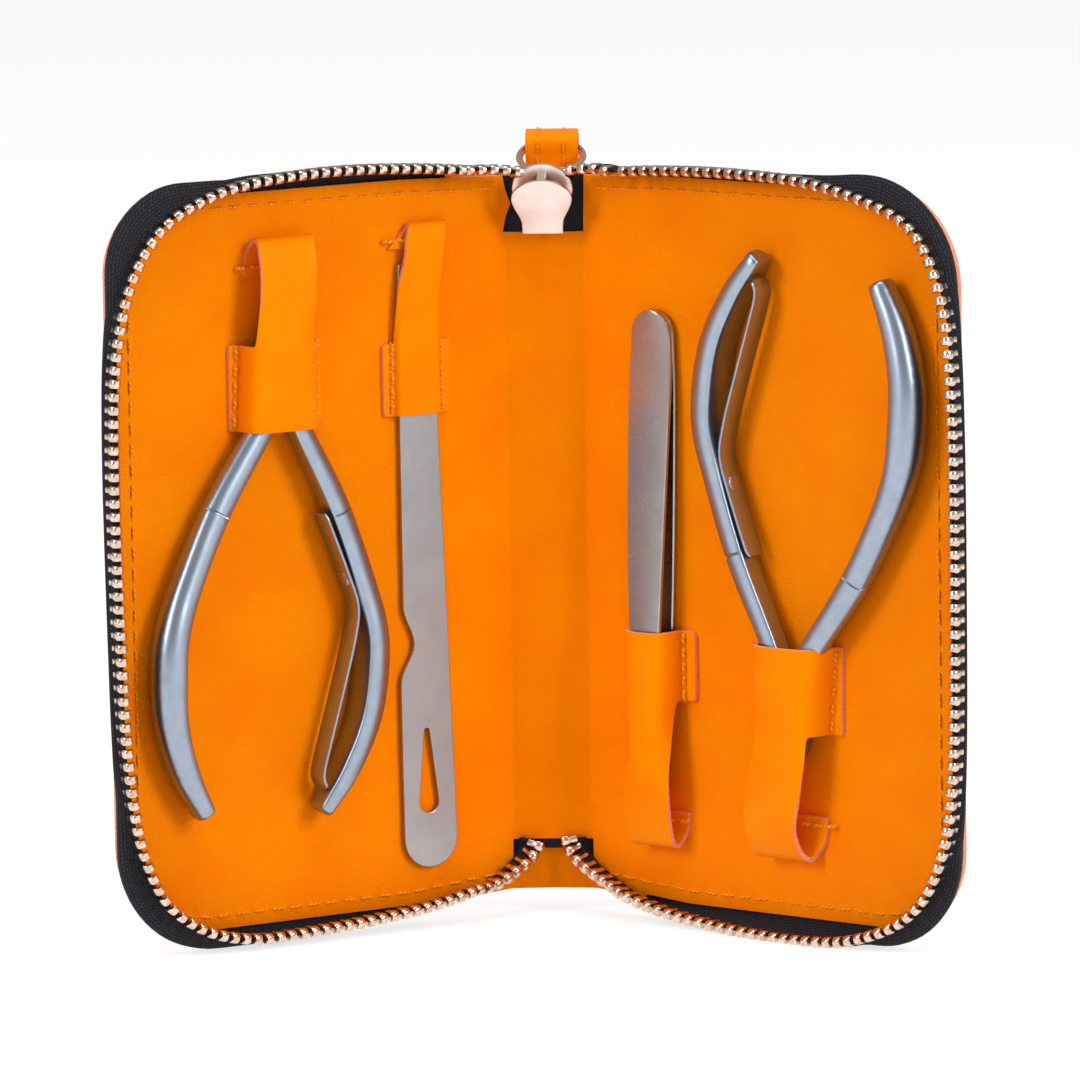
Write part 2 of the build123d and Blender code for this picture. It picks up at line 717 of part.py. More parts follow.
nodes["left_nipper_pocket"] = on_cover(
    holder(
        mouth=25.5,
        depth=16.5,
        wall=(46.5, 60.7),
        deep_wall=(46.5, 59.5),
        tab=(43.2, 62.5),
        roof=8.3,
        strap_plan=[(46.8, 30), (59.3, 30), (58.9, 64), (46.7, 64)],
        slope_end=53.0,
        apex=62.3,
        flap_end=55.5,
        low_roof=7.2,
    ),
    -1,
)
nodes["file_pocket"] = on_cover(
    holder(
        mouth=25.5,
        depth=14.0,
        wall=(16.5, 26.1),
        deep_wall=(16.9, 26.1),
        tab=(13.7, 28.8),
        roof=2.95,
        strap_plan=[(17.3, 30), (25.8, 30), (23.9, 64), (15.4, 64)],
        slope_end=55.5,
        apex=62.5,
        flap_end=60.0,
        low_roof=3.3,
    ),
    -1,
)
nodes["tweezer_pocket"] = on_cover(
    holder(
        mouth=-17.3,
        depth=13.7,
        wall=(13.9, 22.1),
        deep_wall=(14.6, 21.4),
        tab=(11.3, 26.6),
        roof=7.6,
        strap_plan=[(14.2, -20), (21.8, -20), (22.4, -61), (12.6, -61)],
        slope_end=-51.0,
        apex=-59.4,
        flap_end=-53.5,
        low_roof=7.0,
    ),
    1,
)
nodes["right_nipper_pocket"] = on_cover(
    holder(
        mouth=-17.5,
        depth=17.0,
        wall=(44.2, 59.9),
        deep_wall=(43.9, 58.0),
        tab=(41.4, 61.6),
        roof=8.3,
        strap_plan=[(44.9, -20), (57.5, -20), (56.0, -61), (43.6, -61)],
        slope_end=-45.0,
        apex=-59.0,
        flap_end=-53.0,
        low_roof=7.2,
    ),
    1,
)

for name, shape in nodes.items():
    shape.label = name
    export_step(shape, f"parts/{name}.step")
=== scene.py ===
"""Dress the manicure set case: a leather book case, its zip chain and pull, and five steel tools.

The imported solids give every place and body. The pieces here are built in millimetres in the
same frame, stand for the solids they replace and move with the same bodies.
"""

from __future__ import annotations

import logging
from dataclasses import dataclass
from enum import Enum
from math import ceil, cos, exp, inf, pi, radians, sin, sqrt, tan
from typing import Callable, Sequence

import bmesh
import bpy
from bpy.types import Material, Mesh, Node, NodeSocket, NodeTree, Object
from mathutils import Matrix, Vector, noise


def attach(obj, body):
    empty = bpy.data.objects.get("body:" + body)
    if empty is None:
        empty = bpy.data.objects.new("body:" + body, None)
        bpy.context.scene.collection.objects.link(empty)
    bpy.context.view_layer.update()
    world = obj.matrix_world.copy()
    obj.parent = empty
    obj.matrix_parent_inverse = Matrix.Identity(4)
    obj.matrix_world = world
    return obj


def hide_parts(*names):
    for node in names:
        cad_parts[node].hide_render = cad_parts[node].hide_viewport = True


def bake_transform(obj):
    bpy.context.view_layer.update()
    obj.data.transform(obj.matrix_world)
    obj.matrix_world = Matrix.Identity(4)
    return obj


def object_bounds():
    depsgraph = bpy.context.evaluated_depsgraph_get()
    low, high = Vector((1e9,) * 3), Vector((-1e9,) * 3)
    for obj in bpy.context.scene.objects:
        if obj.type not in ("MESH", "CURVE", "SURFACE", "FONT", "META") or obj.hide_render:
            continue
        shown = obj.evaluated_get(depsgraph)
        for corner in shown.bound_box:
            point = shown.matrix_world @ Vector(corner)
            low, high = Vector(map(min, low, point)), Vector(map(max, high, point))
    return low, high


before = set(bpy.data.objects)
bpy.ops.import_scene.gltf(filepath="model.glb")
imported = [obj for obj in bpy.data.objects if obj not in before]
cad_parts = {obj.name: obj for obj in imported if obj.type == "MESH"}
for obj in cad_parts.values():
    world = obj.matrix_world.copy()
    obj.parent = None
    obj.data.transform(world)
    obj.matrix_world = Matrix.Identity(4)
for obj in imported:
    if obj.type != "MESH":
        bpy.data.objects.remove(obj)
CAD_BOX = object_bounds()

MM = 0.001
DOUBLES = 0.002  # points closer than this, in millimetres, become one
SOFT_SHARP = 38.0  # degrees: edges that turn more stay sharp on formed pieces
PLATE_SHARP = 20.0  # the same for flat plates, whose faces must shade flat
LOG = logging.getLogger("manicure_case")
Flat = tuple[float, float]
Place = tuple[float, float, float]


class Side(Enum):
    """The two covers of the case, by the sign of X."""

    LEFT = -1
    RIGHT = 1

    @property
    def label(self) -> str:
        """Name used at the start of node names."""
        return self.name.lower()

    @property
    def cover(self) -> str:
        """Body that this side's cover moves with."""
        return f"{self.label}_cover"


class Slot(Enum):
    """Finish slots of the record."""

    CASE = "case_leather"
    LINING = "lining_leather"
    POCKET = "pocket_leather"
    BOARD = "board"
    TAPE = "zip_tape"
    TAB = "tab_leather"
    ZIP = "zip_metal"
    SLIDER = "slider_metal"
    STEEL = "satin_steel"


# ---- meshes


def make_object(name: str, mesh: Mesh) -> Object:
    """Link a new object that shows the mesh.

    Args:
        name: Name of the piece.
        mesh: Mesh in metres, already in place.

    Returns:
        The object, at the origin.
    """
    mesh.name = name
    piece = bpy.data.objects.new(name, mesh)
    bpy.context.scene.collection.objects.link(piece)
    return piece


def make_mesh(points: Sequence[Vector], faces: Sequence[Sequence[int]], uvs: Sequence[Flat] = ()) -> Mesh:
    """Make a smooth mesh from points in millimetres.

    Args:
        points: Corner points, in millimetres.
        faces: Indices of each face's corners.
        uvs: One pattern coordinate in millimetres for each point, or none.

    Returns:
        The mesh, in metres.
    """
    mesh = bpy.data.meshes.new("piece")
    mesh.from_pydata([tuple(p * MM) for p in points], [], faces)
    if uvs:
        layer = mesh.uv_layers.new(name="UVMap")
        for loop in mesh.loops:
            layer.data[loop.index].uv = uvs[loop.vertex_index]
    mesh.shade_smooth()
    return mesh


def tidy_normals(mesh: Mesh, sharp: float = SOFT_SHARP, merge: bool = True) -> None:
    """Turn every face outwards and keep only real edges sharp.

    Args:
        mesh: Mesh to put right, in metres.
        sharp: Angle in degrees above which an edge stays sharp.
        merge: Also makes one point of points that lie together.
    """
    work = bmesh.new()
    work.from_mesh(mesh)
    if merge:
        bmesh.ops.remove_doubles(work, verts=work.verts, dist=DOUBLES * MM)
    bmesh.ops.recalc_face_normals(work, faces=work.faces)
    work.to_mesh(mesh)
    work.free()
    mesh.shade_smooth()
    mesh.set_sharp_from_angle(angle=radians(sharp))


def settle(piece: Object) -> None:
    """Turn a piece with live modifiers into a plain mesh.

    Args:
        piece: Object whose modifiers are to be kept as mesh.
    """
    graph = bpy.context.evaluated_depsgraph_get()
    shown = piece.evaluated_get(graph)
    mesh = bpy.data.meshes.new_from_object(shown, preserve_all_data_layers=True, depsgraph=graph)
    piece.modifiers.clear()
    piece.data = mesh
    mesh.name = piece.name


def grid_faces(columns: int, rows: int, keep: Callable[[int, int], bool] = lambda i, j: True,
               wrap: bool = False) -> list[list[int]]:
    """Quads of a grid whose points run row by row within each column.

    Args:
        columns: Number of columns.
        rows: Points in each column.
        keep: Says whether the face after column i and row j is made.
        wrap: Joins the last row to the first.

    Returns:
        The faces as lists of point indices.
    """
    faces = []
    for i in range(columns - 1):
        for j in range(rows if wrap else rows - 1):
            if keep(i, j):
                after = (j + 1) % rows
                faces.append([i * rows + j, (i + 1) * rows + j, (i + 1) * rows + after, i * rows + after])
    return faces


def sweep(rings: Sequence[Sequence[Vector]], closed: bool = False, uvs: Sequence[Flat] = ()) -> Mesh:
    """Skin a run of equal rings into one closed mesh.

    Args:
        rings: Rings of points in millimetres.
        closed: Joins the last ring to the first instead of capping both ends.
        uvs: Pattern coordinates of all points, or none.

    Returns:
        The mesh, in metres, with its faces outwards.
    """
    count = len(rings[0])
    points = [p for ring in rings for p in ring]
    faces = grid_faces(len(rings), count, wrap=True)
    if closed:
        last = (len(rings) - 1) * count
        faces += [[last + j, j, (j + 1) % count, last + (j + 1) % count] for j in range(count)]
    else:
        faces.append(list(range(count)))
        faces.append(list(range((len(rings) - 1) * count, len(rings) * count))[::-1])
    mesh = make_mesh(points, faces, uvs)
    tidy_normals(mesh, merge=False)
    return mesh


def heading(line: Sequence[Vector], k: int) -> Vector:
    """Direction of a line at one of its points."""
    return (line[min(k + 1, len(line) - 1)] - line[max(k - 1, 0)]).normalized()


def curve_through(points: Sequence[Vector], steps: int, first: Vector | None = None,
                  last: Vector | None = None) -> list[Vector]:
    """Smooth line through points, evenly stepped between each two.

    Args:
        points: Points the line passes.
        steps: Spans between two neighbouring points.
        first: Direction at the start, or none.
        last: Direction at the end, or none.

    Returns:
        Points along the line.
    """
    ways = []
    for i in range(len(points)):
        before, after = points[max(i - 1, 0)], points[min(i + 1, len(points) - 1)]
        ways.append((after - before) * (0.5 if 0 < i < len(points) - 1 else 1.0))
    if first is not None:
        ways[0] = first.normalized() * (points[1] - points[0]).length
    if last is not None:
        ways[-1] = last.normalized() * (points[-1] - points[-2]).length
    line = []
    for i in range(len(points) - 1):
        for k in range(steps):
            t = k / steps
            a, b = 2 * t**3 - 3 * t**2 + 1, t**3 - 2 * t**2 + t
            c, d = 3 * t**2 - 2 * t**3, t**3 - t**2
            line.append(points[i] * a + ways[i] * b + points[i + 1] * c + ways[i + 1] * d)
    return line + [points[-1]]


def resample(line: Sequence[Vector], pitch: float, start: float) -> list[tuple[Vector, Vector]]:
    """Evenly spaced places along a line.

    Args:
        line: Points of the line.
        pitch: Distance between places.
        start: Distance of the first place.

    Returns:
        Place and direction for each step.
    """
    marks, wanted, passed = [], start, 0.0
    for a, b in zip(line, line[1:]):
        span = (b - a).length
        while span > 0 and wanted <= passed + span:
            marks.append((a.lerp(b, (wanted - passed) / span), (b - a).normalized()))
            wanted += pitch
        passed += span
    return marks


def plate(outline: Sequence[Flat], low: float, high: float, bevel: float,
          holes: Sequence[Sequence[Flat]] = ()) -> bmesh.types.BMesh:
    """Flat plate with softened rims, drawn in X and Y.

    Args:
        outline: Outer corners, in order.
        low: Height of one face.
        high: Height of the other face.
        bevel: Size of the eased rim.
        holes: Outlines of cut-outs.

    Returns:
        A closed bmesh in millimetres.
    """
    work = bmesh.new()
    caps: tuple[list, list] = ([], [])
    profile = [(bevel, low), (0.3 * bevel, low + 0.3 * bevel), (0, low + bevel),
               (0, high - bevel), (0.3 * bevel, high - 0.3 * bevel), (bevel, high)]
    for number, loop in enumerate([outline, *holes]):
        flats = [Vector(p) for p in loop]
        area = sum(a.x * b.y - b.x * a.y for a, b in zip(flats, flats[1:] + flats[:1]))
        inwards = 1 if (area > 0) == (number == 0) else -1
        count = len(flats)
        normals = []
        for k in range(count):
            way = (flats[(k + 1) % count] - flats[k]).normalized()
            way = way + (flats[k] - flats[k - 1]).normalized()
            normals.append(Vector((-way.y, way.x)).normalized() * inwards)
        rings = []
        for inset, height in profile:
            rings.append([work.verts.new((p + n * inset).to_3d() + Vector((0, 0, height)))
                          for p, n in zip(flats, normals)])
        for a, b in zip(rings, rings[1:]):
            for k in range(count):
                work.faces.new([a[k], a[(k + 1) % count], b[(k + 1) % count], b[k]])
        for cap, ring in zip(caps, (rings[0], rings[-1])):
            cap += [work.edges.get((ring[k], ring[(k + 1) % count])) for k in range(count)]
    for cap in caps:
        bmesh.ops.triangle_fill(work, edges=cap, use_beauty=True)
    bmesh.ops.recalc_face_normals(work, faces=work.faces)
    return work


def from_bmesh(work: bmesh.types.BMesh, place: Callable[[Vector], Vector]) -> Mesh:
    """Turn a bmesh in millimetres into a mesh in metres, moved into place.

    Args:
        work: Shape in its own flat frame.
        place: Maps a point of that frame into the case.

    Returns:
        The mesh.
    """
    for vert in work.verts:
        vert.co = place(vert.co.copy()) * MM
    bmesh.ops.recalc_face_normals(work, faces=work.faces)
    mesh = bpy.data.meshes.new("piece")
    work.to_mesh(mesh)
    work.free()
    mesh.shade_smooth()
    mesh.set_sharp_from_angle(angle=radians(PLATE_SHARP))
    return mesh


def combine(base: Mesh, others: Sequence[tuple[str, Mesh]]) -> Mesh:
    """Weld or cut closed meshes into one.

    Args:
        base: Mesh to start from.
        others: Pairs of operation, UNION or DIFFERENCE, and mesh.

    Returns:
        The resulting mesh.
    """
    body = make_object("work", base)
    spare = []
    for operation, mesh in others:
        tool = make_object("tool", mesh)
        spare.append(tool)
        step = body.modifiers.new("step", "BOOLEAN")
        step.operation, step.object, step.solver = operation, tool, "EXACT"
    settle(body)
    mesh = body.data
    for tool in [*spare, body]:
        bpy.data.objects.remove(tool)
    tidy_normals(mesh)
    return mesh


def soft_rect(half_wide: float, half_thick: float, radius: float, steps: int = 3) -> list[Flat]:
    """Rectangle with rounded corners, as a ring of points.

    Args:
        half_wide: Half its width.
        half_thick: Half its thickness.
        radius: Corner radius.
        steps: Spans in each corner.

    Returns:
        Points anticlockwise.
    """
    ring = []
    for corner, (sx, sy) in enumerate(((1, 1), (-1, 1), (-1, -1), (1, -1))):
        for k in range(steps + 1):
            turn = (corner + k / steps) * pi / 2
            ring.append((sx * (half_wide - radius) + radius * cos(turn),
                         sy * (half_thick - radius) + radius * sin(turn)))
    return ring


def dress(piece: Object, finish: Material, *, body: str = "",
          replaces: Sequence[str] = (), bend: tuple[str, str, Vector, Vector] | None = None) -> None:
    """Give a piece its finish, its body and the solids it stands for, and report it.

    Args:
        piece: Finished piece.
        finish: Material for every face that has none yet.
        body: Body it rides on, unless a bend is given.
            bend: Two bodies and, in millimetres, where the bend starts and ends; the piece is then only fixed
                in place, on no body.
        replaces: CAD nodes that it stands for.
        bend: Two bodies and, in millimetres, where the bend starts and ends.
    """
    if not piece.data.materials:
        piece.data.materials.append(finish)
    if bend:
        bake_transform(piece)
    else:
        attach(piece, body)
    if replaces:
        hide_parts(*replaces)
    LOG.info("%s: %d faces on %s", piece.name, len(piece.data.polygons), body or bend[:2])


# ---- finishes


def linear(colour: str) -> tuple[float, float, float, float]:
    """Linear colour of an sRGB hex value.

    Args:
        colour: Six hex digits after a hash.

    Returns:
        Red, green, blue and alpha.
    """
    parts = [int(colour[k:k + 2], 16) / 255 for k in (1, 3, 5)]
    parts = [c / 12.92 if c <= 0.04045 else ((c + 0.055) / 1.055) ** 2.4 for c in parts]
    return (*parts, 1.0)


def add_node(tree: NodeTree, kind: str, inputs: dict | None = None, **settings: object) -> Node:
    """Add a node with its settings, input values and links.

    Args:
        tree: Tree to add to.
        kind: Node type.
        inputs: Value, socket or node for each input, by name or number. A node gives its first result.
        settings: Attributes of the node.

    Returns:
        The new node.
    """
    node = tree.nodes.new(kind)
    for name, value in settings.items():
        setattr(node, name, value)
    for name, value in (inputs or {}).items():
        if isinstance(value, Node):
            value = next(socket for socket in value.outputs if socket.enabled)
        if isinstance(value, NodeSocket):
            tree.links.new(value, node.inputs[name])
        else:
            node.inputs[name].default_value = value
    return node


def two_tones(tree: NodeTree, amount: NodeSocket | Node, span: tuple[float, ...], first: str | Node,
              second: str) -> Node:
    """Mix two tones by a measured amount.

    Args:
        tree: Tree to add to.
        amount: Value that decides the mix.
        span: Two amounts, and the share of the second tone at each.
        first: Tone to start from, as a hex value or a node.
        second: Tone mixed in, as a hex value.

    Returns:
        The mixed tone.
    """
    share = add_node(tree, "ShaderNodeMapRange", {0: amount, **dict(enumerate(span, 1))})
    base = linear(first) if isinstance(first, str) else first
    return add_node(tree, "ShaderNodeMix", {0: share, 6: base, 7: linear(second)}, data_type="RGBA")


def new_material(name: str) -> tuple[Material, NodeTree]:
    """Start a material with an empty tree.

    Args:
        name: Name of the finish.

    Returns:
        The material and its tree.
    """
    material = bpy.data.materials.new(name)
    material.use_nodes = True
    material.node_tree.nodes.clear()
    return material, material.node_tree


def per_metre(millimetres: float) -> float:
    """Texture scale that gives features of this size."""
    return 1.0 / (millimetres * MM)


@dataclass(frozen=True)
class Finish:
    """A named finish. Each kind says what its surface is made of."""

    name: str

    def material(self) -> Material:
        """Build the material.

        Returns:
            The finished material.
        """
        material, tree = new_material(self.name)
        shader = add_node(tree, "ShaderNodeBsdfPrincipled", self.surface(tree))
        add_node(tree, "ShaderNodeOutputMaterial", {"Surface": shader})
        return material

    def surface(self, tree: NodeTree) -> dict[str, object]:
        """Inputs of the surface shader, with the nodes that make them."""
        raise NotImplementedError


@dataclass(frozen=True)
class CalfLeather(Finish):
    """Full-grain calf, dyed through and lightly glazed.

    Fine creased pebbles break the gloss and broad soft folds move the light. The creases between
    the pebbles are painted darker as shade, and the tone deepens a little at random with the folds.
    """

    colour: str
    # deeper tone: a random drift with the folds, and the painted shade in the grain's creases
    deep: str
    glaze: str = "#FF9838"
    grain_mm: float = 0.85
    pore_mm: float = 0.3
    fold_mm: float = 14.0
    drift_mm: float = 2.4  # size of the wander that makes the pebbles uneven
    drift: float = 0.0011
    relief: float = 0.5
    rough: float = 0.46

    def surface(self, tree: NodeTree) -> dict[str, object]:
        """Pebbles, pores and folds of the hide, its tones, and painted shade in the creases.

        Args:
            tree: Tree of the material.

        Returns:
            Inputs of the surface shader.
        """
        place = add_node(tree, "ShaderNodeTexCoord").outputs["Object"]
        wander = add_node(tree, "ShaderNodeTexNoise",
                          {"Vector": place, "Scale": per_metre(self.drift_mm), "Detail": 2.0})
        bent = add_node(tree, "ShaderNodeVectorMath", {0: wander.outputs["Color"], 1: (self.drift,) * 3},
                        operation="MULTIPLY")
        warped = add_node(tree, "ShaderNodeVectorMath", {0: place, 1: bent.outputs[0]}, operation="ADD")
        cells = add_node(tree, "ShaderNodeTexVoronoi",
                         {"Vector": warped.outputs[0], "Scale": per_metre(self.grain_mm)},
                         feature="DISTANCE_TO_EDGE").outputs["Distance"]
        pebble = add_node(tree, "ShaderNodeMapRange", {0: cells, 1: 0.0, 2: 0.32, 3: 0.0, 4: 1.0})
        pores = add_node(tree, "ShaderNodeTexNoise", {"Vector": place, "Scale": per_metre(self.pore_mm),
                                                      "Detail": 4.0, "Roughness": 0.6}).outputs["Fac"]
        folds = add_node(tree, "ShaderNodeTexNoise", {"Vector": place, "Scale": per_metre(self.fold_mm),
                                                      "Detail": 3.0, "Roughness": 0.45}).outputs["Fac"]
        base = two_tones(tree, folds, (0.35, 0.68, 0.0, 1.0), self.colour, self.deep)
        # painted shade: the creases between the pebbles are darkened towards the deep tone
        tone = two_tones(tree, cells, (0.0, 0.12, 0.35, 0.0), base, self.deep)
        rough = add_node(tree, "ShaderNodeMapRange",
                         {0: pores, 1: 0.3, 2: 0.7, 3: self.rough - 0.05, 4: self.rough + 0.08})
        bump = None
        for height, strength, distance in ((folds, 0.35, 0.0005), (pebble, self.relief, 0.00009),
                                           (pores, 0.12, 0.00004)):
            under = {"Normal": bump} if bump else {}
            bump = add_node(tree, "ShaderNodeBump",
                            {"Strength": strength, "Distance": distance, "Height": height, **under})
        return {"Base Color": tone, "Roughness": rough, "Normal": bump, "Specular IOR Level": 0.3,
                "Specular Tint": linear(self.glaze)}


@dataclass(frozen=True)
class CutEdge(Finish):
    """Raw cut leather: pale, fibrous and dull, with the dye only half way in."""

    name: str = "cut_leather_edge"
    colour: str = "#F0805A"
    pale: str = "#F4B9A0"
    fibre_mm: float = 0.35

    def surface(self, tree: NodeTree) -> dict[str, object]:
        """Fibres of the cut.

        Args:
            tree: Tree of the material.

        Returns:
            Inputs of the surface shader.
        """
        place = add_node(tree, "ShaderNodeTexCoord").outputs["Object"]
        fibre = add_node(tree, "ShaderNodeTexNoise", {"Vector": place, "Scale": per_metre(self.fibre_mm),
                                                      "Detail": 5.0, "Roughness": 0.7}).outputs["Fac"]
        bump = add_node(tree, "ShaderNodeBump", {"Strength": 0.6, "Distance": 0.00012, "Height": fibre})
        return {"Base Color": two_tones(tree, fibre, (0.4, 0.64, 0.0, 1.0), self.colour, self.pale),
                "Roughness": 0.85, "Normal": bump}


@dataclass(frozen=True)
class SewingThread(Finish):
    """Waxed two-ply polyester thread: a twisted rope with a soft sheen."""

    name: str = "sewing_thread"
    colour: str = "#FFA21A"
    # tone painted into the grooves between the plies, as shade
    deep: str = "#E87800"
    twist_mm: float = 0.55
    half_wave: float = 0.314  # half a band of the diagonal wave texture at scale 1

    def surface(self, tree: NodeTree) -> dict[str, object]:
        """Twist of the two plies, with painted shade in the grooves between them.

        Args:
            tree: Tree of the material.

        Returns:
            Inputs of the surface shader.
        """
        along = add_node(tree, "ShaderNodeUVMap").outputs[0]
        twist = add_node(tree, "ShaderNodeTexWave",
                         {"Vector": along, "Scale": self.half_wave / self.twist_mm, "Distortion": 0.4},
                         bands_direction="DIAGONAL").outputs["Fac"]
        bump = add_node(tree, "ShaderNodeBump", {"Strength": 0.7, "Distance": 0.0001, "Height": twist})
        # painted shade: the grooves between the plies, low in the twist, take the deep tone
        return {"Base Color": two_tones(tree, twist, (0.1, 0.5, 1.0, 0.0), self.colour, self.deep),
                "Roughness": 0.5, "Specular IOR Level": 0.15, "Normal": bump}


@dataclass(frozen=True)
class WovenTape(Finish):
    """Polyester zip tape in a fine herringbone: near black and dull, with a painted highlight on the thread
    crowns.
    """

    name: str = "woven_zip_tape"
    colour: str = "#0E0D12"
    # highlight tone painted on the raised thread crowns
    crown: str = "#34323E"
    thread_mm: float = 0.75  # real threads are half this, too fine to show
    cross_mm: float = 0.65
    rib_mm: float = 1.3

    def surface(self, tree: NodeTree) -> dict[str, object]:
        """Weave of the tape, and the fuzz on it.

        Args:
            tree: Tree of the material.

        Returns:
            Inputs of the surface shader.
        """
        flat = add_node(tree, "ShaderNodeUVMap").outputs[0]
        parts = add_node(tree, "ShaderNodeSeparateXYZ", {0: flat}).outputs
        # herringbone: the slant of the threads flips at every rib across the tape
        rib = add_node(tree, "ShaderNodeMath", {0: parts["Y"], 1: self.rib_mm}, operation="PINGPONG")
        slant = add_node(tree, "ShaderNodeMath", {0: parts["X"], 1: rib}, operation="ADD")
        waves = []
        for along, size in ((slant, self.thread_mm), (parts["Y"], self.cross_mm)):
            turn = add_node(tree, "ShaderNodeMath", {0: along, 1: 2 * pi / size}, operation="MULTIPLY")
            waves.append(add_node(tree, "ShaderNodeMath", {0: turn}, operation="SINE"))
        weave = add_node(tree, "ShaderNodeMath", dict(enumerate(waves)), operation="ADD")
        height = add_node(tree, "ShaderNodeMapRange", {0: weave, 1: -2.0, 2: 2.0, 3: 0.0, 4: 1.0})
        fuzz = add_node(tree, "ShaderNodeTexNoise", {"Vector": flat, "Scale": 2.2, "Detail": 4.0})
        # painted highlight: the raised thread crowns are lightened, broken up at random by the fuzz
        lit = add_node(tree, "ShaderNodeMath", {0: height, 1: fuzz.outputs["Fac"]}, operation="MULTIPLY")
        bump = add_node(tree, "ShaderNodeBump", {"Strength": 0.8, "Distance": 0.00016, "Height": height})
        return {"Base Color": two_tones(tree, lit, (0.22, 0.5, 0.0, 1.0), self.colour, self.crown),
                "Roughness": 0.78, "Normal": bump, "Specular IOR Level": 0.3}


@dataclass(frozen=True)
class Metal(Finish):
    """Solid metal, from polished to satin, with faint handling marks.

    A grain makes it brushed: fine lines whose size is given along each axis.
    """

    colour: str
    dark: str
    rough: float
    spread: float = 0.06
    mark_mm: float = 3.0
    grain_mm: Place | None = None
    grain_depth: float = 0.00002

    def surface(self, tree: NodeTree) -> dict[str, object]:
        """Handling marks, and the brushed grain if there is one.

        Args:
            tree: Tree of the material.

        Returns:
            Inputs of the surface shader.
        """
        place = add_node(tree, "ShaderNodeTexCoord").outputs["Object"]
        marks = add_node(tree, "ShaderNodeTexNoise", {"Vector": place, "Scale": per_metre(self.mark_mm),
                                                      "Detail": 4.0, "Roughness": 0.6}).outputs["Fac"]
        tone = two_tones(tree, marks, (0.3, 0.7, 0.0, 1.0), self.colour, self.dark)
        half = self.spread / 2
        rough = add_node(tree, "ShaderNodeMapRange",
                         {0: marks, 1: 0.3, 2: 0.7, 3: self.rough - half, 4: self.rough + half})
        if not self.grain_mm:
            return {"Base Color": tone, "Metallic": 1.0, "Roughness": rough}
        lines = add_node(tree, "ShaderNodeMapping",
                         {"Vector": place, "Scale": tuple(per_metre(size) for size in self.grain_mm)})
        brushed = add_node(tree, "ShaderNodeTexNoise",
                           {"Vector": lines.outputs[0], "Scale": 1.0, "Detail": 3.0}).outputs["Fac"]
        bump = add_node(tree, "ShaderNodeBump",
                        {"Strength": 0.6, "Distance": self.grain_depth, "Height": brushed})
        return {"Base Color": two_tones(tree, brushed, (0.3, 0.7, 0.0, 0.5), tone, self.dark),
                "Metallic": 1.0, "Roughness": rough, "Normal": bump}


@dataclass(frozen=True)
class GreyBoard(Finish):
    """Pressed paper board inside the covers: dull, with short fibres."""

    name: str = "grey_board"
    colour: str = "#8E8A82"
    dark: str = "#77736B"
    fibre_mm: float = 0.8

    def surface(self, tree: NodeTree) -> dict[str, object]:
        """Fibres of the board.

        Args:
            tree: Tree of the material.

        Returns:
            Inputs of the surface shader.
        """
        place = add_node(tree, "ShaderNodeTexCoord").outputs["Object"]
        fibre = add_node(tree, "ShaderNodeTexNoise",
                         {"Vector": place, "Scale": per_metre(self.fibre_mm), "Detail": 6.0}).outputs["Fac"]
        bump = add_node(tree, "ShaderNodeBump", {"Strength": 0.4, "Distance": 0.0001, "Height": fibre})
        return {"Base Color": two_tones(tree, fibre, (0.3, 0.7, 0.0, 1.0), self.colour, self.dark),
                "Roughness": 0.9, "Normal": bump}


class Finishes:
    """Every finish of the set, built once."""

    def __init__(self) -> None:
        """Build all materials."""
        self.case = CalfLeather("case_calf_leather", "#FF8A00", "#FB7E00").material()
        self.lining = CalfLeather("lining_calf_leather", "#FF8B00", "#FC8000", grain_mm=0.8,
                                  rough=0.44).material()
        self.pocket = CalfLeather("pocket_calf_leather", "#FF9000", "#FF8600", grain_mm=0.7, fold_mm=9.0,
                                  relief=0.24, rough=0.4).material()
        self.edge = CutEdge().material()
        self.thread = SewingThread().material()
        self.tape = WovenTape().material()
        self.tooth = Metal("champagne_brass", "#F0DCD0", "#C8A688", 0.24, spread=0.12,
                           mark_mm=0.9).material()
        self.slider = Metal("pale_gold_zinc", "#F0E0D8", "#E6D2C8", 0.36, mark_mm=4.0).material()
        self.ring = Metal("pale_gold_wire", "#F3DCCB", "#E2C2AC", 0.18, mark_mm=1.0).material()
        self.forged = Metal("satin_forged_steel", "#A9B6C6", "#9AA6B6", 0.34, spread=0.05, mark_mm=2.5,
                            grain_mm=(0.25, 0.25, 0.25), grain_depth=0.000006).material()
        self.brushed = Metal("brushed_sheet_steel", "#BDBDBD", "#A4A4A6", 0.28, spread=0.05, mark_mm=6.0,
                             grain_mm=(0.12, 0.12, 9.0), grain_depth=0.00001).material()
        self.ground = Metal("ground_sheet_steel", "#B4B5B7", "#A6A7A9", 0.36, spread=0.04, mark_mm=6.0,
                            grain_mm=(0.2, 0.2, 6.0), grain_depth=0.000006).material()
        self.board = GreyBoard().material()




# ---- repeating pieces


@dataclass(frozen=True)
class Mark:
    """Place and directions for one repeated piece, in millimetres."""

    place: Vector
    along: Vector
    out: Vector


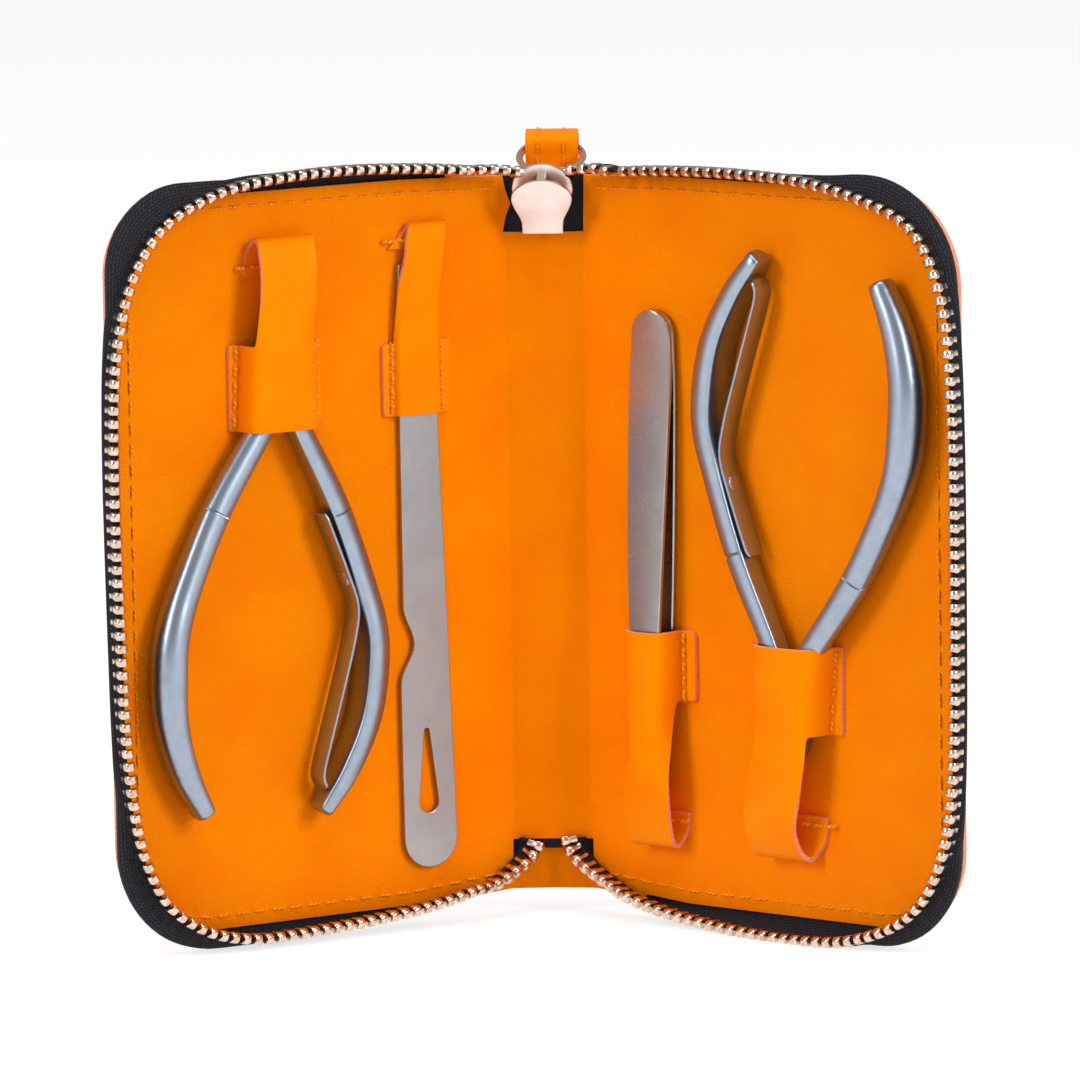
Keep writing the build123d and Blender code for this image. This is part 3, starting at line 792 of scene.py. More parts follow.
class Repeater:
    """Geometry Nodes tree that sets one small piece at every mark of a row."""

    sharp: float = 42.0  # degrees: edges of a piece that turn more stay sharp

    def __init__(self) -> None:
        """Build the tree and its named inputs."""
        tree = bpy.data.node_groups.new("repeat_along_row", "GeometryNodeTree")
        face = tree.interface
        face.new_socket("Geometry", in_out="OUTPUT", socket_type="NodeSocketGeometry")
        face.new_socket("Geometry", in_out="INPUT", socket_type="NodeSocketGeometry")
        self.inputs = {}
        for name, kind in (("Piece", "Object"), ("Lean", "Float"), ("Stretch", "Float"), ("Seed", "Int"),
                           ("Finish", "Material")):
            socket = face.new_socket(name, in_out="INPUT", socket_type=f"NodeSocket{kind}")
            self.inputs[name] = socket.identifier
        given = add_node(tree, "NodeGroupInput").outputs
        along = add_node(tree, "GeometryNodeInputNamedAttribute", {0: "along"}, data_type="FLOAT_VECTOR")
        out = add_node(tree, "GeometryNodeInputNamedAttribute", {0: "out"}, data_type="FLOAT_VECTOR")
        turned = add_node(tree, "FunctionNodeAxesToRotation", {0: along.outputs[0], 1: out.outputs[0]},
                          primary_axis="X", secondary_axis="Z")
        back = add_node(tree, "ShaderNodeMath", {0: given["Lean"], 1: -1.0}, operation="MULTIPLY")
        lean = add_node(tree, "FunctionNodeRandomValue", {2: back, 3: given["Lean"], "Seed": given["Seed"]},
                        data_type="FLOAT")
        tilt = add_node(tree, "ShaderNodeCombineXYZ", {"Z": lean.outputs[1]})
        tilted = add_node(tree, "FunctionNodeRotateRotation", {0: turned, 1: tilt}, rotation_space="LOCAL")
        short = add_node(tree, "ShaderNodeMath", {0: 1.0, 1: given["Stretch"]}, operation="SUBTRACT")
        long = add_node(tree, "ShaderNodeMath", {0: 1.0, 1: given["Stretch"]}, operation="ADD")
        size = add_node(tree, "FunctionNodeRandomValue", {2: short, 3: long, "Seed": given["Seed"]},
                        data_type="FLOAT")
        piece = add_node(tree, "GeometryNodeObjectInfo", {"Object": given["Piece"]})
        placed = add_node(tree, "GeometryNodeInstanceOnPoints",
                          {"Points": given["Geometry"], "Instance": piece.outputs["Geometry"],
                           "Rotation": tilted, "Scale": size.outputs[1]})
        real = add_node(tree, "GeometryNodeRealizeInstances", {0: placed})
        dressed = add_node(tree, "GeometryNodeSetMaterial", {0: real, 2: given["Finish"]})
        add_node(tree, "NodeGroupOutput", {0: dressed})
        self.tree = tree

    def row(self, name: str, shape: Mesh, marks: Sequence[Mark], finish: Material,
            lean: float = 0.0, stretch: float = 0.0, seed: int = 1) -> Object:
        """Repeat a shape at every mark.

        Args:
            name: Name of the row.
            shape: Mesh of one piece, in metres, along X with Z outwards.
            marks: Where the pieces go.
            finish: Material of the row.
            lean: Largest random turn about Z, in radians.
            stretch: Largest random change of size, as a share.
            seed: Fixed random seed.

        Returns:
            The row as one plain mesh.
        """
        mesh = bpy.data.meshes.new(name)
        mesh.from_pydata([tuple(m.place * MM) for m in marks], [], [])
        for title, vectors in (("along", [m.along for m in marks]), ("out", [m.out for m in marks])):
            data = mesh.attributes.new(title, "FLOAT_VECTOR", "POINT").data
            data.foreach_set("vector", [c for vector in vectors for c in vector])
        piece = make_object(name, mesh)
        pattern = make_object("pattern", shape)
        nodes = piece.modifiers.new("row", "NODES")
        nodes.node_group = self.tree
        for title, value in (("Piece", pattern), ("Lean", lean), ("Stretch", stretch), ("Seed", seed),
                             ("Finish", finish)):
            nodes[self.inputs[title]] = value
        settle(piece)
        bpy.data.objects.remove(pattern)
        piece.data.shade_smooth()
        piece.data.set_sharp_from_angle(angle=radians(self.sharp))
        return piece


# ---- case


def thicken(piece: Object, edge: Material, thickness: float, round_by: float) -> None:
    """Give a surface its leather thickness and raw cut rims, and settle it.

    Args:
        piece: Middle surface, already with its leather material.
        edge: Material of the cut rims.
        thickness: Leather thickness.
        round_by: Softening of the cut edges.
    """
    piece.data.materials.append(edge)
    solid = piece.modifiers.new("thickness", "SOLIDIFY")
    solid.thickness, solid.offset = thickness * MM, 0.0
    solid.use_even_offset, solid.material_offset_rim = True, 1
    soft = piece.modifiers.new("rim", "BEVEL")
    soft.width, soft.segments, soft.limit_method = round_by * MM, 2, "ANGLE"
    soft.angle_limit = radians(60)
    settle(piece)
    tidy_normals(piece.data)


@dataclass(frozen=True)
class CaseShape:
    """Sizes of the opened case, and the maps from its flat parts into place.

    On a cover, v is the distance from the fold and w the height above the middle of the
    leather stack, inwards. Along the whole leather, s is the distance from the spine's middle.
    """

    open_angle: float = 34.3
    spine_half: float = 8.2
    back: float = -1.35  # Y of the middle of the leather stack at the spine
    bend: float = 1.5  # half the leather taken up by the fold
    edge_v: float = 88.2
    edge_z: float = 72.6
    top_corners: Flat = (15.5, 19.0)  # radii, left and right
    bottom_corners: Flat = (19.4, 17.6)
    shoulder: float = 24.0  # stretch beside the fold where the long edges rise to full height
    fold_top: float = 71.8
    fold_bottom: float = 70.8
    spine_top: float = 71.6
    spine_bottom: float = 70.7
    inner: float = 1.35  # lining's face above the middle of the leather stack
    spine_columns: tuple[float, ...] = (0.0, 1.6, 3.2, 4.8)
    flat_columns: int = 27
    corner_columns: int = 15

    def cover(self, side: Side, v: float, w: float, z: float) -> Vector:
        """Point of a cover.

        Args:
            side: Which cover.
            v: Distance from the fold.
            w: Height above the fold axis, inwards.
            z: Height in the case.

        Returns:
            The point, in millimetres.
        """
        turn = radians(self.open_angle)
        x = self.spine_half + v * cos(turn) - w * sin(turn)
        return Vector((side.value * x, self.back - v * sin(turn) - w * cos(turn), z))

    def sheet(self, side: Side, s: float, w: float, z: float) -> Vector:
        """Point of leather that runs from the middle of the spine round the fold.

        Args:
            side: Which cover.
            s: Distance along the leather from the middle of the spine.
            w: Height above the middle of the leather stack, inwards.
            z: Height in the case.

        Returns:
            The point, in millimetres.
        """
        flat = self.spine_half - self.bend
        if s <= flat:
            return Vector((side.value * s, self.back - w, z))
        turn = radians(self.open_angle)
        if s >= self.spine_half + self.bend:
            return self.cover(side, s - self.spine_half, w, z)
        radius = self.bend / tan(turn / 2)
        part = (s - flat) / (2 * self.bend) * turn
        x = flat + (radius - w) * sin(part)
        return Vector((side.value * x, self.back - radius + (radius - w) * cos(part), z))

    def direction(self, side: Side, v: float, w: float, z: float) -> Vector:
        """Direction in the case of a direction on the cover."""
        return self.cover(side, v, w, z) - self.cover(side, 0, 0, 0)

    def corner(self, side: Side, top: bool) -> float:
        """Radius of one corner of the leather."""
        return (self.top_corners if top else self.bottom_corners)[side is Side.RIGHT]

    def edge(self, side: Side, s: float, inset: float, top: bool) -> float:
        """Height of the leather's long edge.

        Args:
            side: Which cover.
            s: Distance along the leather from the middle of the spine.
            inset: Distance inside the edge.
            top: Upper edge, or lower edge.

        Returns:
            Its height, never negative.
        """
        middle, fold = (self.spine_top, self.fold_top) if top else (self.spine_bottom, self.fold_bottom)
        v = s - self.spine_half
        if v < 0:
            return middle + (fold - middle) * s / self.spine_half - inset
        if v < self.shoulder:
            return fold + (self.edge_z - fold) * v / self.shoulder - inset
        corner = self.corner(side, top)
        radius = corner - inset
        past = min(max(v - self.edge_v + corner, 0.0), radius)
        return self.edge_z - corner + sqrt(radius**2 - past**2)

    def columns(self, side: Side, inset: float) -> list[float]:
        """Distances at which a sheet has its columns of points, closer at fold and corner."""
        spine = [*self.spine_columns, self.spine_half - self.bend]
        fold = [self.spine_half + self.bend * k / 3 for k in range(-2, 4)]
        corner = max(self.corner(side, True), self.corner(side, False))
        start = self.spine_half + self.edge_v - corner
        flat, round_end = self.flat_columns, self.corner_columns
        wide = [fold[-1] + (start - fold[-1]) * k / flat for k in range(1, flat + 1)]
        turns = [pi / 2 * k / round_end for k in range(1, round_end + 1)]
        return spine + fold + wide + [start + (corner - inset) * sin(turn) for turn in turns]

    def rim(self, side: Side, inset: float, start: float) -> list[Vector]:
        """Line round a cover, inset from its edge.

        Args:
            side: Which cover.
            inset: Distance inside the edge.
            start: Distance from the middle of the spine where the line starts and ends.

        Returns:
            Points (s, z) from the top of the fold round to the bottom.
        """
        places = [s for s in self.columns(side, inset) if s > start]
        top = [Vector((s, self.edge(side, s, inset, True))) for s in [start, *places]]
        bottom = [Vector((s, -self.edge(side, s, inset, False))) for s in [start, *places]]
        return top + bottom[::-1]


@dataclass
class LeatherBook:
    """Outer leather and lining of the case, one sheet each side of the spine's middle."""

    shape: CaseShape
    finishes: Finishes
    outer_t: float = 1.2
    lining_t: float = 0.8
    lining_inset: float = 1.3
    notch_top: float = 59.2
    notch_bottom: float = 60.6
    rows: int = 49
    outer_middle: float = -0.75  # middle of each sheet above the middle of the stack
    lining_middle: float = 0.95
    channel_x: float = -2.9
    channel_wide: float = 2.3
    channel_deep: float = 0.42
    channel_fade: Flat = (-12.0, 30.0)  # height where the channel starts, and its run to full depth
    crease_wide: float = 1.1
    crease_deep: float = 0.16
    crease_wander: float = 0.5
    swell: float = 0.16
    swell_turn: Flat = (0.045, 0.05)  # swells in each millimetre, along X and Z
    middle_gap: float = 0.3  # rims closer than this to the spine's middle close up
    window_edge: float = 0.25  # bare window's least distance from the next column
    window_low: Flat = (8.3, 0.025)  # lower window: half width, and its growth for each mm
    window_right: Flat = (8.0, 0.4 / 12)  # upper window's right side, likewise
    waist_z: float = 5.8  # its left side has a waist this far above the lining
    waist_x: float = 6.5
    waist_deep: float = 2.6

    def relief(self, side: Side, s: float, z: float) -> float:
        """Soft hollows and swells of the lining, in millimetres inwards."""
        x = side.value * s
        spot = Vector((x * self.swell_turn[0], z * self.swell_turn[1], 3.0))
        height = self.swell * noise.noise(spot) + 0.4 * self.swell * noise.noise(spot * 3.1)
        start, run = self.channel_fade
        channel = exp(-((x - self.channel_x) / self.channel_wide) ** 2)
        channel *= min(1.0, max(0.0, (z - start) / run))
        wander = self.crease_wander * noise.noise(Vector((0.0, z * 0.08, 7.0 * side.value)))
        crease = exp(-((s - self.shape.spine_half - wander) / self.crease_wide) ** 2)
        return height - self.channel_deep * channel - self.crease_deep * crease

    def half_sheet(self, side: Side, inset: float, w: float, notched: bool) -> Mesh:
        """Middle surface of one sheet.

        Args:
            side: Which side of the spine's middle.
            inset: Distance inside the leather's edge.
            w: Height of the middle of the sheet.
            notched: Leaves the ends of the spine bare, and follows the relief.

        Returns:
            The surface, in metres.
        """
        shape = self.shape
        places = shape.columns(side, inset)
        half = self.rows // 2
        points, uvs = [], []
        open_top = self.notch_top / shape.edge(side, 0, inset, True)
        open_low = self.notch_bottom / shape.edge(side, 0, inset, False)
        top_row = round(half * open_top)
        low_row = round(half * open_low)
        edge_column = min(range(len(places)), key=lambda k: abs(places[k] - shape.spine_half))
        for i, s in enumerate(places):
            for j in range(-half, half + 1):
                top = j > 0
                tip = shape.edge(side, s, inset, top)
                step, last = (top_row, open_top) if top else (low_row, open_low)
                share = abs(j) / step * last
                if abs(j) > step:
                    share = last + (1 - last) * (abs(j) - step) / (half - step)
                z = share * tip * (1 if top else -1)
                at = s
                if notched and i == edge_column and abs(j) >= step:
                    at = min(self.notch_side(side, z), places[i + 1] - self.window_edge)
                lift = 0.0
                if notched:  # the relief fades out over the outer ninth, and 4 mm at the side
                    lift = self.relief(side, at, z) * min(1.0, (1 - share) * 9, (places[-1] - s) / 4)
                points.append(shape.sheet(side, at, w + lift, z))
                uvs.append((at, z))
        rows = 2 * half + 1

        def keep(i: int, j: int) -> bool:
            """True where the sheet has leather."""
            row = j - half
            bare = row >= top_row or row < -low_row
            return not (notched and bare and i < edge_column)

        return make_mesh(points, grid_faces(len(places), rows, keep), uvs)

    def notch_side(self, side: Side, z: float) -> float:
        """Distance from the spine's middle to the side of the bare window."""
        if z < 0:
            return self.window_low[0] + self.window_low[1] * (-z - self.notch_bottom)
        if side is Side.RIGHT:
            return self.window_right[0] + self.window_right[1] * (z - self.notch_top)
        from_waist = abs(z - self.notch_top - self.waist_z) / self.waist_z
        return self.waist_x + self.waist_deep * min(from_waist, 1.3)

    def close_middle(self, piece: Object) -> None:
        """Bring the eased rims of a half sheet together at the spine's middle."""
        for vert in piece.data.vertices:
            if abs(vert.co.x) < self.middle_gap * MM:
                vert.co.x = 0.0
        tidy_normals(piece.data)

    def build(self) -> None:
        """Build and dress the four sheets."""
        for side in Side:
            start, end = (Vector((side.value * (self.shape.spine_half + d), 0, 0))
                          for d in (-self.shape.bend, self.shape.bend))
            bend = ("spine", side.cover, start, end)
            outer = self.half_sheet(side, 0.0, self.outer_middle, False)
            lining = self.half_sheet(side, self.lining_inset, self.lining_middle, True)
            sheets = (("case", "outer", outer, self.outer_t, 0.2, self.finishes.case, Slot.CASE),
                      ("lining", "lining", lining, self.lining_t, 0.14, self.finishes.lining, Slot.LINING))
            for name, solid, mesh, thick, round_by, finish, slot in sheets:
                piece = make_object(f"{side.label}_{name}_leather", mesh)
                piece.data.materials.append(finish)
                thicken(piece, self.finishes.edge, thick, round_by)
                self.close_middle(piece)
                spine = [f"spine_{solid}"] if side is Side.RIGHT else []
                dress(piece, finish, replaces=[f"{side.label}_{solid}", *spine], bend=bend)


@dataclass
class Stitching:
    """Thread seams of the case and its holders."""

    shape: CaseShape
    finishes: Finishes
    repeater: Repeater
    pitch: float = 4.0
    length: float = 3.4
    inset: float = 3.9
    from_fold: float = 2.4  # cover seams start and end this far from the fold

    def stitch(self, length: float, thread: float) -> Mesh:
        """One stitch: a thread that rises out of the leather and dives back.

        Args:
            length: Length on the surface.
            thread: Radius of the thread.

        Returns:
            Its mesh along X, in metres.
        """
        rings, uvs = [], []
        for k in range(7):
            x = (k / 6 - 0.5) * length
            z = thread * (0.8 - 1.9 * (2 * x / length) ** 4)
            thick = thread * (1 - 0.25 * (2 * x / length) ** 4)
            turns = [2 * pi * n / 6 for n in range(6)]
            rings.append([Vector((x, thick * cos(t), z + thick * sin(t))) for t in turns])
            uvs += [(x, n * 0.25) for n in range(6)]
        return sweep(rings, uvs=uvs)

    def seam(self, name: str, body: str, marks: Sequence[Mark], length: float, seed: int,
             thread: float = 0.26) -> None:
        """Sew one row.

        Args:
            name: Name of the seam.
            body: Body it rides on.
            marks: Middle of each stitch.
            length: Length of a stitch.
            seed: Fixed random seed.
            thread: Radius of the thread.
        """
        row = self.repeater.row(name, self.stitch(length, thread), marks, self.finishes.thread, lean=0.07,
                                stretch=0.05, seed=seed)
        dress(row, self.finishes.thread, body=body)

    def line(self, side: Side, points: Sequence[Vector], w: float, out: float, pitch: float) -> list[Mark]:
        """Marks along a line on a cover.

        Args:
            side: Which cover.
            points: Line (v, z) on the cover.
            w: Height of the surface.
            out: 1 on the lining's face, -1 on the outer face.
            pitch: Distance between stitches.

        Returns:
            The marks.
        """
        marks = []
        for spot, way in resample([p.to_3d() for p in points], pitch, pitch / 2):
            marks.append(Mark(self.shape.cover(side, spot.x, w, spot.y),
                              self.shape.direction(side, way.x, 0, way.y),
                              self.shape.direction(side, 0, out, 0)))
        return marks

    def build(self) -> None:
        """Sew the seam round each cover, inside and outside."""
        shape = self.shape
        for number, side in enumerate(Side):
            rim = shape.rim(side, self.inset, shape.spine_half + self.from_fold)
            line = [Vector((p.x - shape.spine_half, p.y)) for p in rim]
            for name, out, seed in (("lining", 1, 5), ("case", -1, 9)):
                marks = self.line(side, line, out * shape.inner, out, self.pitch)
                self.seam(f"{side.label}_{name}_seam", side.cover, marks, self.length, seed + number)


# ---- zip


@dataclass(frozen=True)
class RowPlace:
    """One place along a row of zip teeth: tips point along head, the tape's outer face along out."""

    place: Vector
    along: Vector
    head: Vector

    @property
    def out(self) -> Vector:
        """Direction across the tape."""
        return self.along.cross(self.head).normalized()


@dataclass
class ZipChain:
    """Two rows of metal teeth on woven tapes, from the slider round both covers to the stop."""

    shape: CaseShape
    finishes: Finishes
    repeater: Repeater
    pitch: float = 2.55
    row: float = 8.2  # plane where two rows meet, above the middle of the leather stack
    tape_t: float = 0.5
    grip: float = 1.75  # tape's edge before that plane
    fork_end: float = 3.1  # where the tape starts to bend, before that plane
    flange: float = 5.0  # width of the tape's glued edge
    belly: float = 3.8  # height of the swell, measured as the row's
    bulge: float = 1.2
    turn_v: float = 12.0  # distance from the fold where a turn starts
    tooth_length: float = 1.3
    tip: float = 0.45  # tip of a tooth past the meeting plane
    leg: float = 3.0  # ends of its legs before it
    fork: float = 0.3  # half the slot in which a tooth holds the tape
    foot: float = 0.2  # the tape's glued foot above the middle of the leather stack
    taut: float = 0.12  # least slack, by the spine
    slack_from: Flat = (40.0, 46.0)  # v where the tape slackens, lower and upper edge
    slack_run: float = 20.0
    overhang: float = 1.3  # a row further out than this swells less
    wall: float = 1.7  # swell of the tape beyond the leather edge, at least
    loose: float = 1.6  # stretch of the tape inside the edge that isn't glued
    turn_low: float = 1.75  # least height of a turn's tape above the cover's middle
    spine_low: float = 0.95  # and above the spine's
    turn_foot: Flat = (4.6, 4.2)  # foot of the tape before the row at the spine, lower and upper turn
    turn_end: tuple[Place, ...] = ((-0.2, 0.1, 1.0), (-0.6, 0.6, -0.5))  # direction at the spine
    first_tooth: Flat = (0.4, 0.9)  # first tooth of a turn in pitches, left and right
    # path (v, z) of the row round each cover, left and right, from the top turn to the lower one
    rows: tuple[tuple[Flat, ...], ...] = (
        ((6.0, 72.0), (20.0, 73.7), (36.4, 74.7), (48.3, 74.6), (60.5, 73.6), (70.7, 71.1), (79.7, 66.4),
         (85.8, 58.5), (89.1, 48.8), (90.7, 38.7), (91.3, 24.0), (91.2, 8.0), (90.6, -15.2), (90.0, -30.5),
         (88.4, -45.9), (86.0, -55.7), (81.2, -64.4), (72.9, -70.2), (62.8, -72.8), (52.3, -72.9),
         (34.0, -71.9), (20.0, -70.2), (6.0, -67.0)),
        ((6.0, 71.6), (20.0, 72.9), (35.7, 73.5), (51.4, 73.2), (61.4, 72.2), (71.5, 70.0), (80.6, 66.6),
         (86.3, 60.5), (89.9, 50.5), (91.2, 40.1), (91.9, 25.0), (92.1, 5.0), (91.8, -26.0), (91.0, -41.5),
         (89.5, -51.4), (85.8, -61.1), (80.9, -66.9), (74.4, -70.8), (64.4, -73.8), (53.8, -74.6),
         (43.6, -74.4), (33.3, -73.7), (20.0, -71.9), (6.0, -68.0)))
    # places (x, y, z) on the turns, for the right side
    top_turn: tuple[Place, ...] = ((9.4, -12.65, 72.7), (6.2, -11.15, 72.4), (3.4, -9.95, 71.9))
    low_turn: tuple[Place, ...] = ((10.6, -11.55, -68.4), (5.6, -6.75, -65.7), (2.9, -4.35, -63.4),
                                   (1.9, -3.75, -61.0))

    def measured(self, side: Side) -> list[tuple[float, Vector]]:
        """Points (v, z) of the row round a cover, with their distance along it.

        Args:
            side: Which cover.

        Returns:
            Distance and point, closely spaced.
        """
        passed, marks, last = 0.0, [], None
        for spot in curve_through([Vector(p) for p in self.rows[side is Side.RIGHT]], 12):
            passed += (spot - last).length if last is not None else 0.0
            marks.append((passed, spot))
            last = spot
        return marks

    def at(self, marks: list[tuple[float, Vector]], distance: float) -> tuple[Vector, Vector]:
        """Place and direction at a distance along the path.

        Args:
            marks: Measured points of the row.
            distance: Distance along the path.

        Returns:
            Point (v, z) and unit direction.
        """
        for (a, p), (b, q) in zip(marks, marks[1:]):
            if b >= distance and b > a:
                return p.lerp(q, (distance - a) / (b - a)), (q - p).normalized()
        return marks[-1][1], (marks[-1][1] - marks[-2][1]).normalized()

    def crossing(self, marks: list[tuple[float, Vector]], first: bool) -> float:
        """Distance at which the row leaves or reaches the turn by the spine."""
        inside = [d for d, p in marks if p.x > self.turn_v]
        return inside[0] if first else inside[-1]

    def reach(self, side: Side, spot: Vector, way: Vector) -> float:
        """How far the row stands outside the leather edge, measured across the row."""
        out = Vector((-way.y, way.x))
        rim = [Vector((p.x - self.shape.spine_half, p.y))
               for p in self.shape.rim(side, 0.0, self.shape.spine_half + 0.3)]
        best = inf
        for a, b in zip(rim, rim[1:]):
            edge = b - a
            cross = out.x * edge.y - out.y * edge.x
            if abs(cross) < 1e-6:  # parallel
                continue
            gap = a - spot
            hit = (gap.x * edge.y - gap.y * edge.x) / cross
            share = (gap.x * out.y - gap.y * out.x) / cross
            if -0.01 <= share <= 1.01 and abs(hit) < abs(best):
                best = hit
        return -best

    def cover_place(self, side: Side, spot: Vector, way: Vector) -> RowPlace:
        """Row place on a cover."""
        return RowPlace(self.shape.cover(side, spot.x, self.row, spot.y),
                        self.shape.direction(side, way.x, 0, way.y), self.shape.direction(side, 0, 1, 0))

    def fullness(self, spot: Vector, reach: float) -> Flat:
        """How slack the tape is at a place on the row, 0 to 1, and how far it swells outwards."""
        slack = min(1.0, max(self.taut, (spot.x - self.slack_from[spot.y > 0]) / self.slack_run))
        full = max(self.bulge - 0.45 * max(0.0, reach - self.overhang), self.wall - reach)
        return slack, full * slack

    def section(self, spot: Vector, reach: float) -> list[Vector]:
        """Middle line of the tape across the row, as (past the meeting plane, outwards).

        Args:
            spot: Place (v, z) on the row.
            reach: How far the row stands outside the leather edge.

        Returns:
            Points from the glued foot to the teeth.
        """
        slack, belly = self.fullness(spot, reach)
        foot = self.foot - self.row
        rim = -reach * slack + min(-reach, self.loose) * (1 - slack)
        knots = [Vector((foot, rim - self.flange)), Vector((foot, rim - self.loose)),
                 Vector((foot + 0.5, rim - 0.3 + 0.6 * slack)), Vector((self.belly - self.row, belly)),
                 Vector((-self.fork_end, 0.0)), Vector((-self.grip, 0.0))]
        return curve_through(knots, 4)

    def tape_ring(self, place: RowPlace, flip: int, line: Sequence[Vector]) -> list[Vector]:
        """Closed ring of the tape at one place."""
        out = place.out * flip
        upper, lower = [], []
        for k, spot in enumerate(line):
            way = heading(line, k)
            normal = Vector((-way.y, way.x)) * self.tape_t / 2
            upper.append(spot + normal)
            lower.append(spot - normal)
        return [place.place + place.head * p.x + out * p.y for p in upper + lower[::-1]]

    def tape_uvs(self, line: Sequence[Vector], along: float) -> list[Flat]:
        """Pattern coordinates of one ring."""
        across = [0.0]
        for a, b in zip(line, line[1:]):
            across.append(across[-1] + (b - a).length)
        return [(along, a) for a in across + across[::-1]]

    def tooth(self) -> Mesh:
        """One tooth along X, its tip along Z: slim legs clasp the tape below a thick rounded head.

        Returns:
            Its mesh, in metres.
        """
        fork, tip = self.fork, self.tip
        right = [(-self.leg, fork), (-self.leg, 0.85), (-1.6, 0.95), (-1.3, 1.1), (-0.6, 1.12),
                 (tip - 0.5, 1.0), (tip - 0.12, 0.66), (tip, 0.25)]
        throat = [(-self.grip + 0.12, fork)]
        ring = throat + right + [(z, -y) for z, y in reversed(right)] + [(z, -y) for z, y in throat]
        half = self.tooth_length / 2
        rings = []
        for share, inset in ((-1, 0.24), (-0.72, 0.06), (0.72, 0.06), (1, 0.24)):
            loop = []
            for z, y in ring:
                # the head is longer than the legs and reaches towards the next tooth
                head = min(1.0, max(0.0, (z + 1.7) / 0.7))
                x = share * half * (0.86 + 0.45 * head) + 0.1 * head
                spot = Vector((z, y))
                if abs(y) > fork + 0.01 or z > -self.grip + 0.2:
                    spot = spot + (Vector((-1.2, 0.0)) - spot).normalized() * inset
                # a cup sinks into the tip
                dip = 0.3 * exp(-(y / 0.5) ** 2) if share == 1 and z > 0 else 0.0
                loop.append(Vector((x - dip, spot.y, spot.x)))
            rings.append(loop)
        return sweep(rings)

    def turn(self, side: Side, top: bool, marks: list[tuple[float, Vector]]) -> list[RowPlace]:
        """Row between a cover wall and the spine.

        Args:
            side: Which cover.
            top: Upper turn or lower turn.
            marks: Measured path of the row.

        Returns:
            Closely spaced places, from the cover to the spine.
        """
        start = self.cover_place(side, *self.at(marks, self.crossing(marks, top)))
        across, *rest = self.turn_end[top]
        turn = self.top_turn if top else self.low_turn
        knots = [start.place] + [Vector((side.value * x, y, z)) for x, y, z in turn]
        sign = -1 if top else 1
        line = curve_through(knots, 8, start.along * sign, Vector((side.value * across, *rest)))
        total = sum((b - a).length for a, b in zip(line, line[1:]))
        places, passed = [], 0.0
        for k, point in enumerate(line):
            passed += (point - line[max(k - 1, 0)]).length
            step = passed / total
            tangent = heading(line, k) * sign
            head = start.head.lerp(Vector((-side.value, 0, 0)), step)
            head = (head - tangent * head.dot(tangent)).normalized()
            places.append(RowPlace(point, tangent, head))
        return places

    def turn_section(self, step: float, reach: float, belly: float, top: bool, place: RowPlace,
                     side: Side) -> list[Vector]:
        """Middle line of the tape on a turn, kept clear of lining and spine."""
        start = self.turn_low - self.row
        foot = start - (start + self.turn_foot[top]) * step
        across = min(-reach, self.loose) * (1 - step)
        base = place.place - Vector((side.value * self.shape.spine_half, self.shape.back, 0))
        for inward, surface in ((self.shape.direction(side, 0, 1, 0), self.turn_low),
                                (Vector((0, -1, 0)), self.spine_low)):
            sink = place.head.dot(inward)
            if sink > 0.2:
                foot = max(foot, (surface - base.dot(inward)) / sink)
        foot = min(foot, -self.fork_end - 0.2)
        knots = [Vector((foot, across)), Vector(((foot - self.fork_end) / 2, belly * (1 - step))),
                 Vector((-self.fork_end, 0.0)), Vector((-self.grip, 0.0))]
        return curve_through(knots, 4)

    def build(self) -> None:
        """Build tapes, teeth and turns on both sides."""
        for side, offset in ((Side.LEFT, 0.0), (Side.RIGHT, 0.5)):
            marks = self.measured(side)
            start, end = self.crossing(marks, True), self.crossing(marks, False)
            self.build_cover(side, offset, marks, start, end)
            for top in (True, False):
                self.build_turn(side, top, marks, start if top else end)

    def build_cover(self, side: Side, offset: float, marks: list, start: float, end: float) -> None:
        """Tape wall and teeth of one cover."""
        rings, uvs, count = [], [], ceil((end - start) / 1.6)
        for k in range(count + 1):
            distance = start + (end - start) * k / count
            spot, way = self.at(marks, distance)
            line = self.section(spot, self.reach(side, spot, way))
            place = self.cover_place(side, spot, way)
            outwards = self.shape.direction(side, -way.y, 0, way.x)
            rings.append(self.tape_ring(place, 1 if place.out.dot(outwards) > 0 else -1, line))
            uvs += self.tape_uvs(line, distance)
        tape = make_object(f"{side.label}_woven_tape", sweep(rings, uvs=uvs))
        dress(tape, self.finishes.tape, body=side.cover, replaces=[f"{side.label}_zip_tape"])
        row = []
        for k in range(int(start / self.pitch) + 1, int(end / self.pitch - offset) + 1):
            place = self.cover_place(side, *self.at(marks, (k + offset) * self.pitch))
            row.append(Mark(place.place, place.along * side.value, place.head))
        teeth = self.repeater.row(f"{side.label}_teeth", self.tooth(), row, self.finishes.tooth, lean=0.02,
                                  seed=3)
        dress(teeth, self.finishes.tooth, body=side.cover, replaces=[f"{side.label}_zip_teeth"])

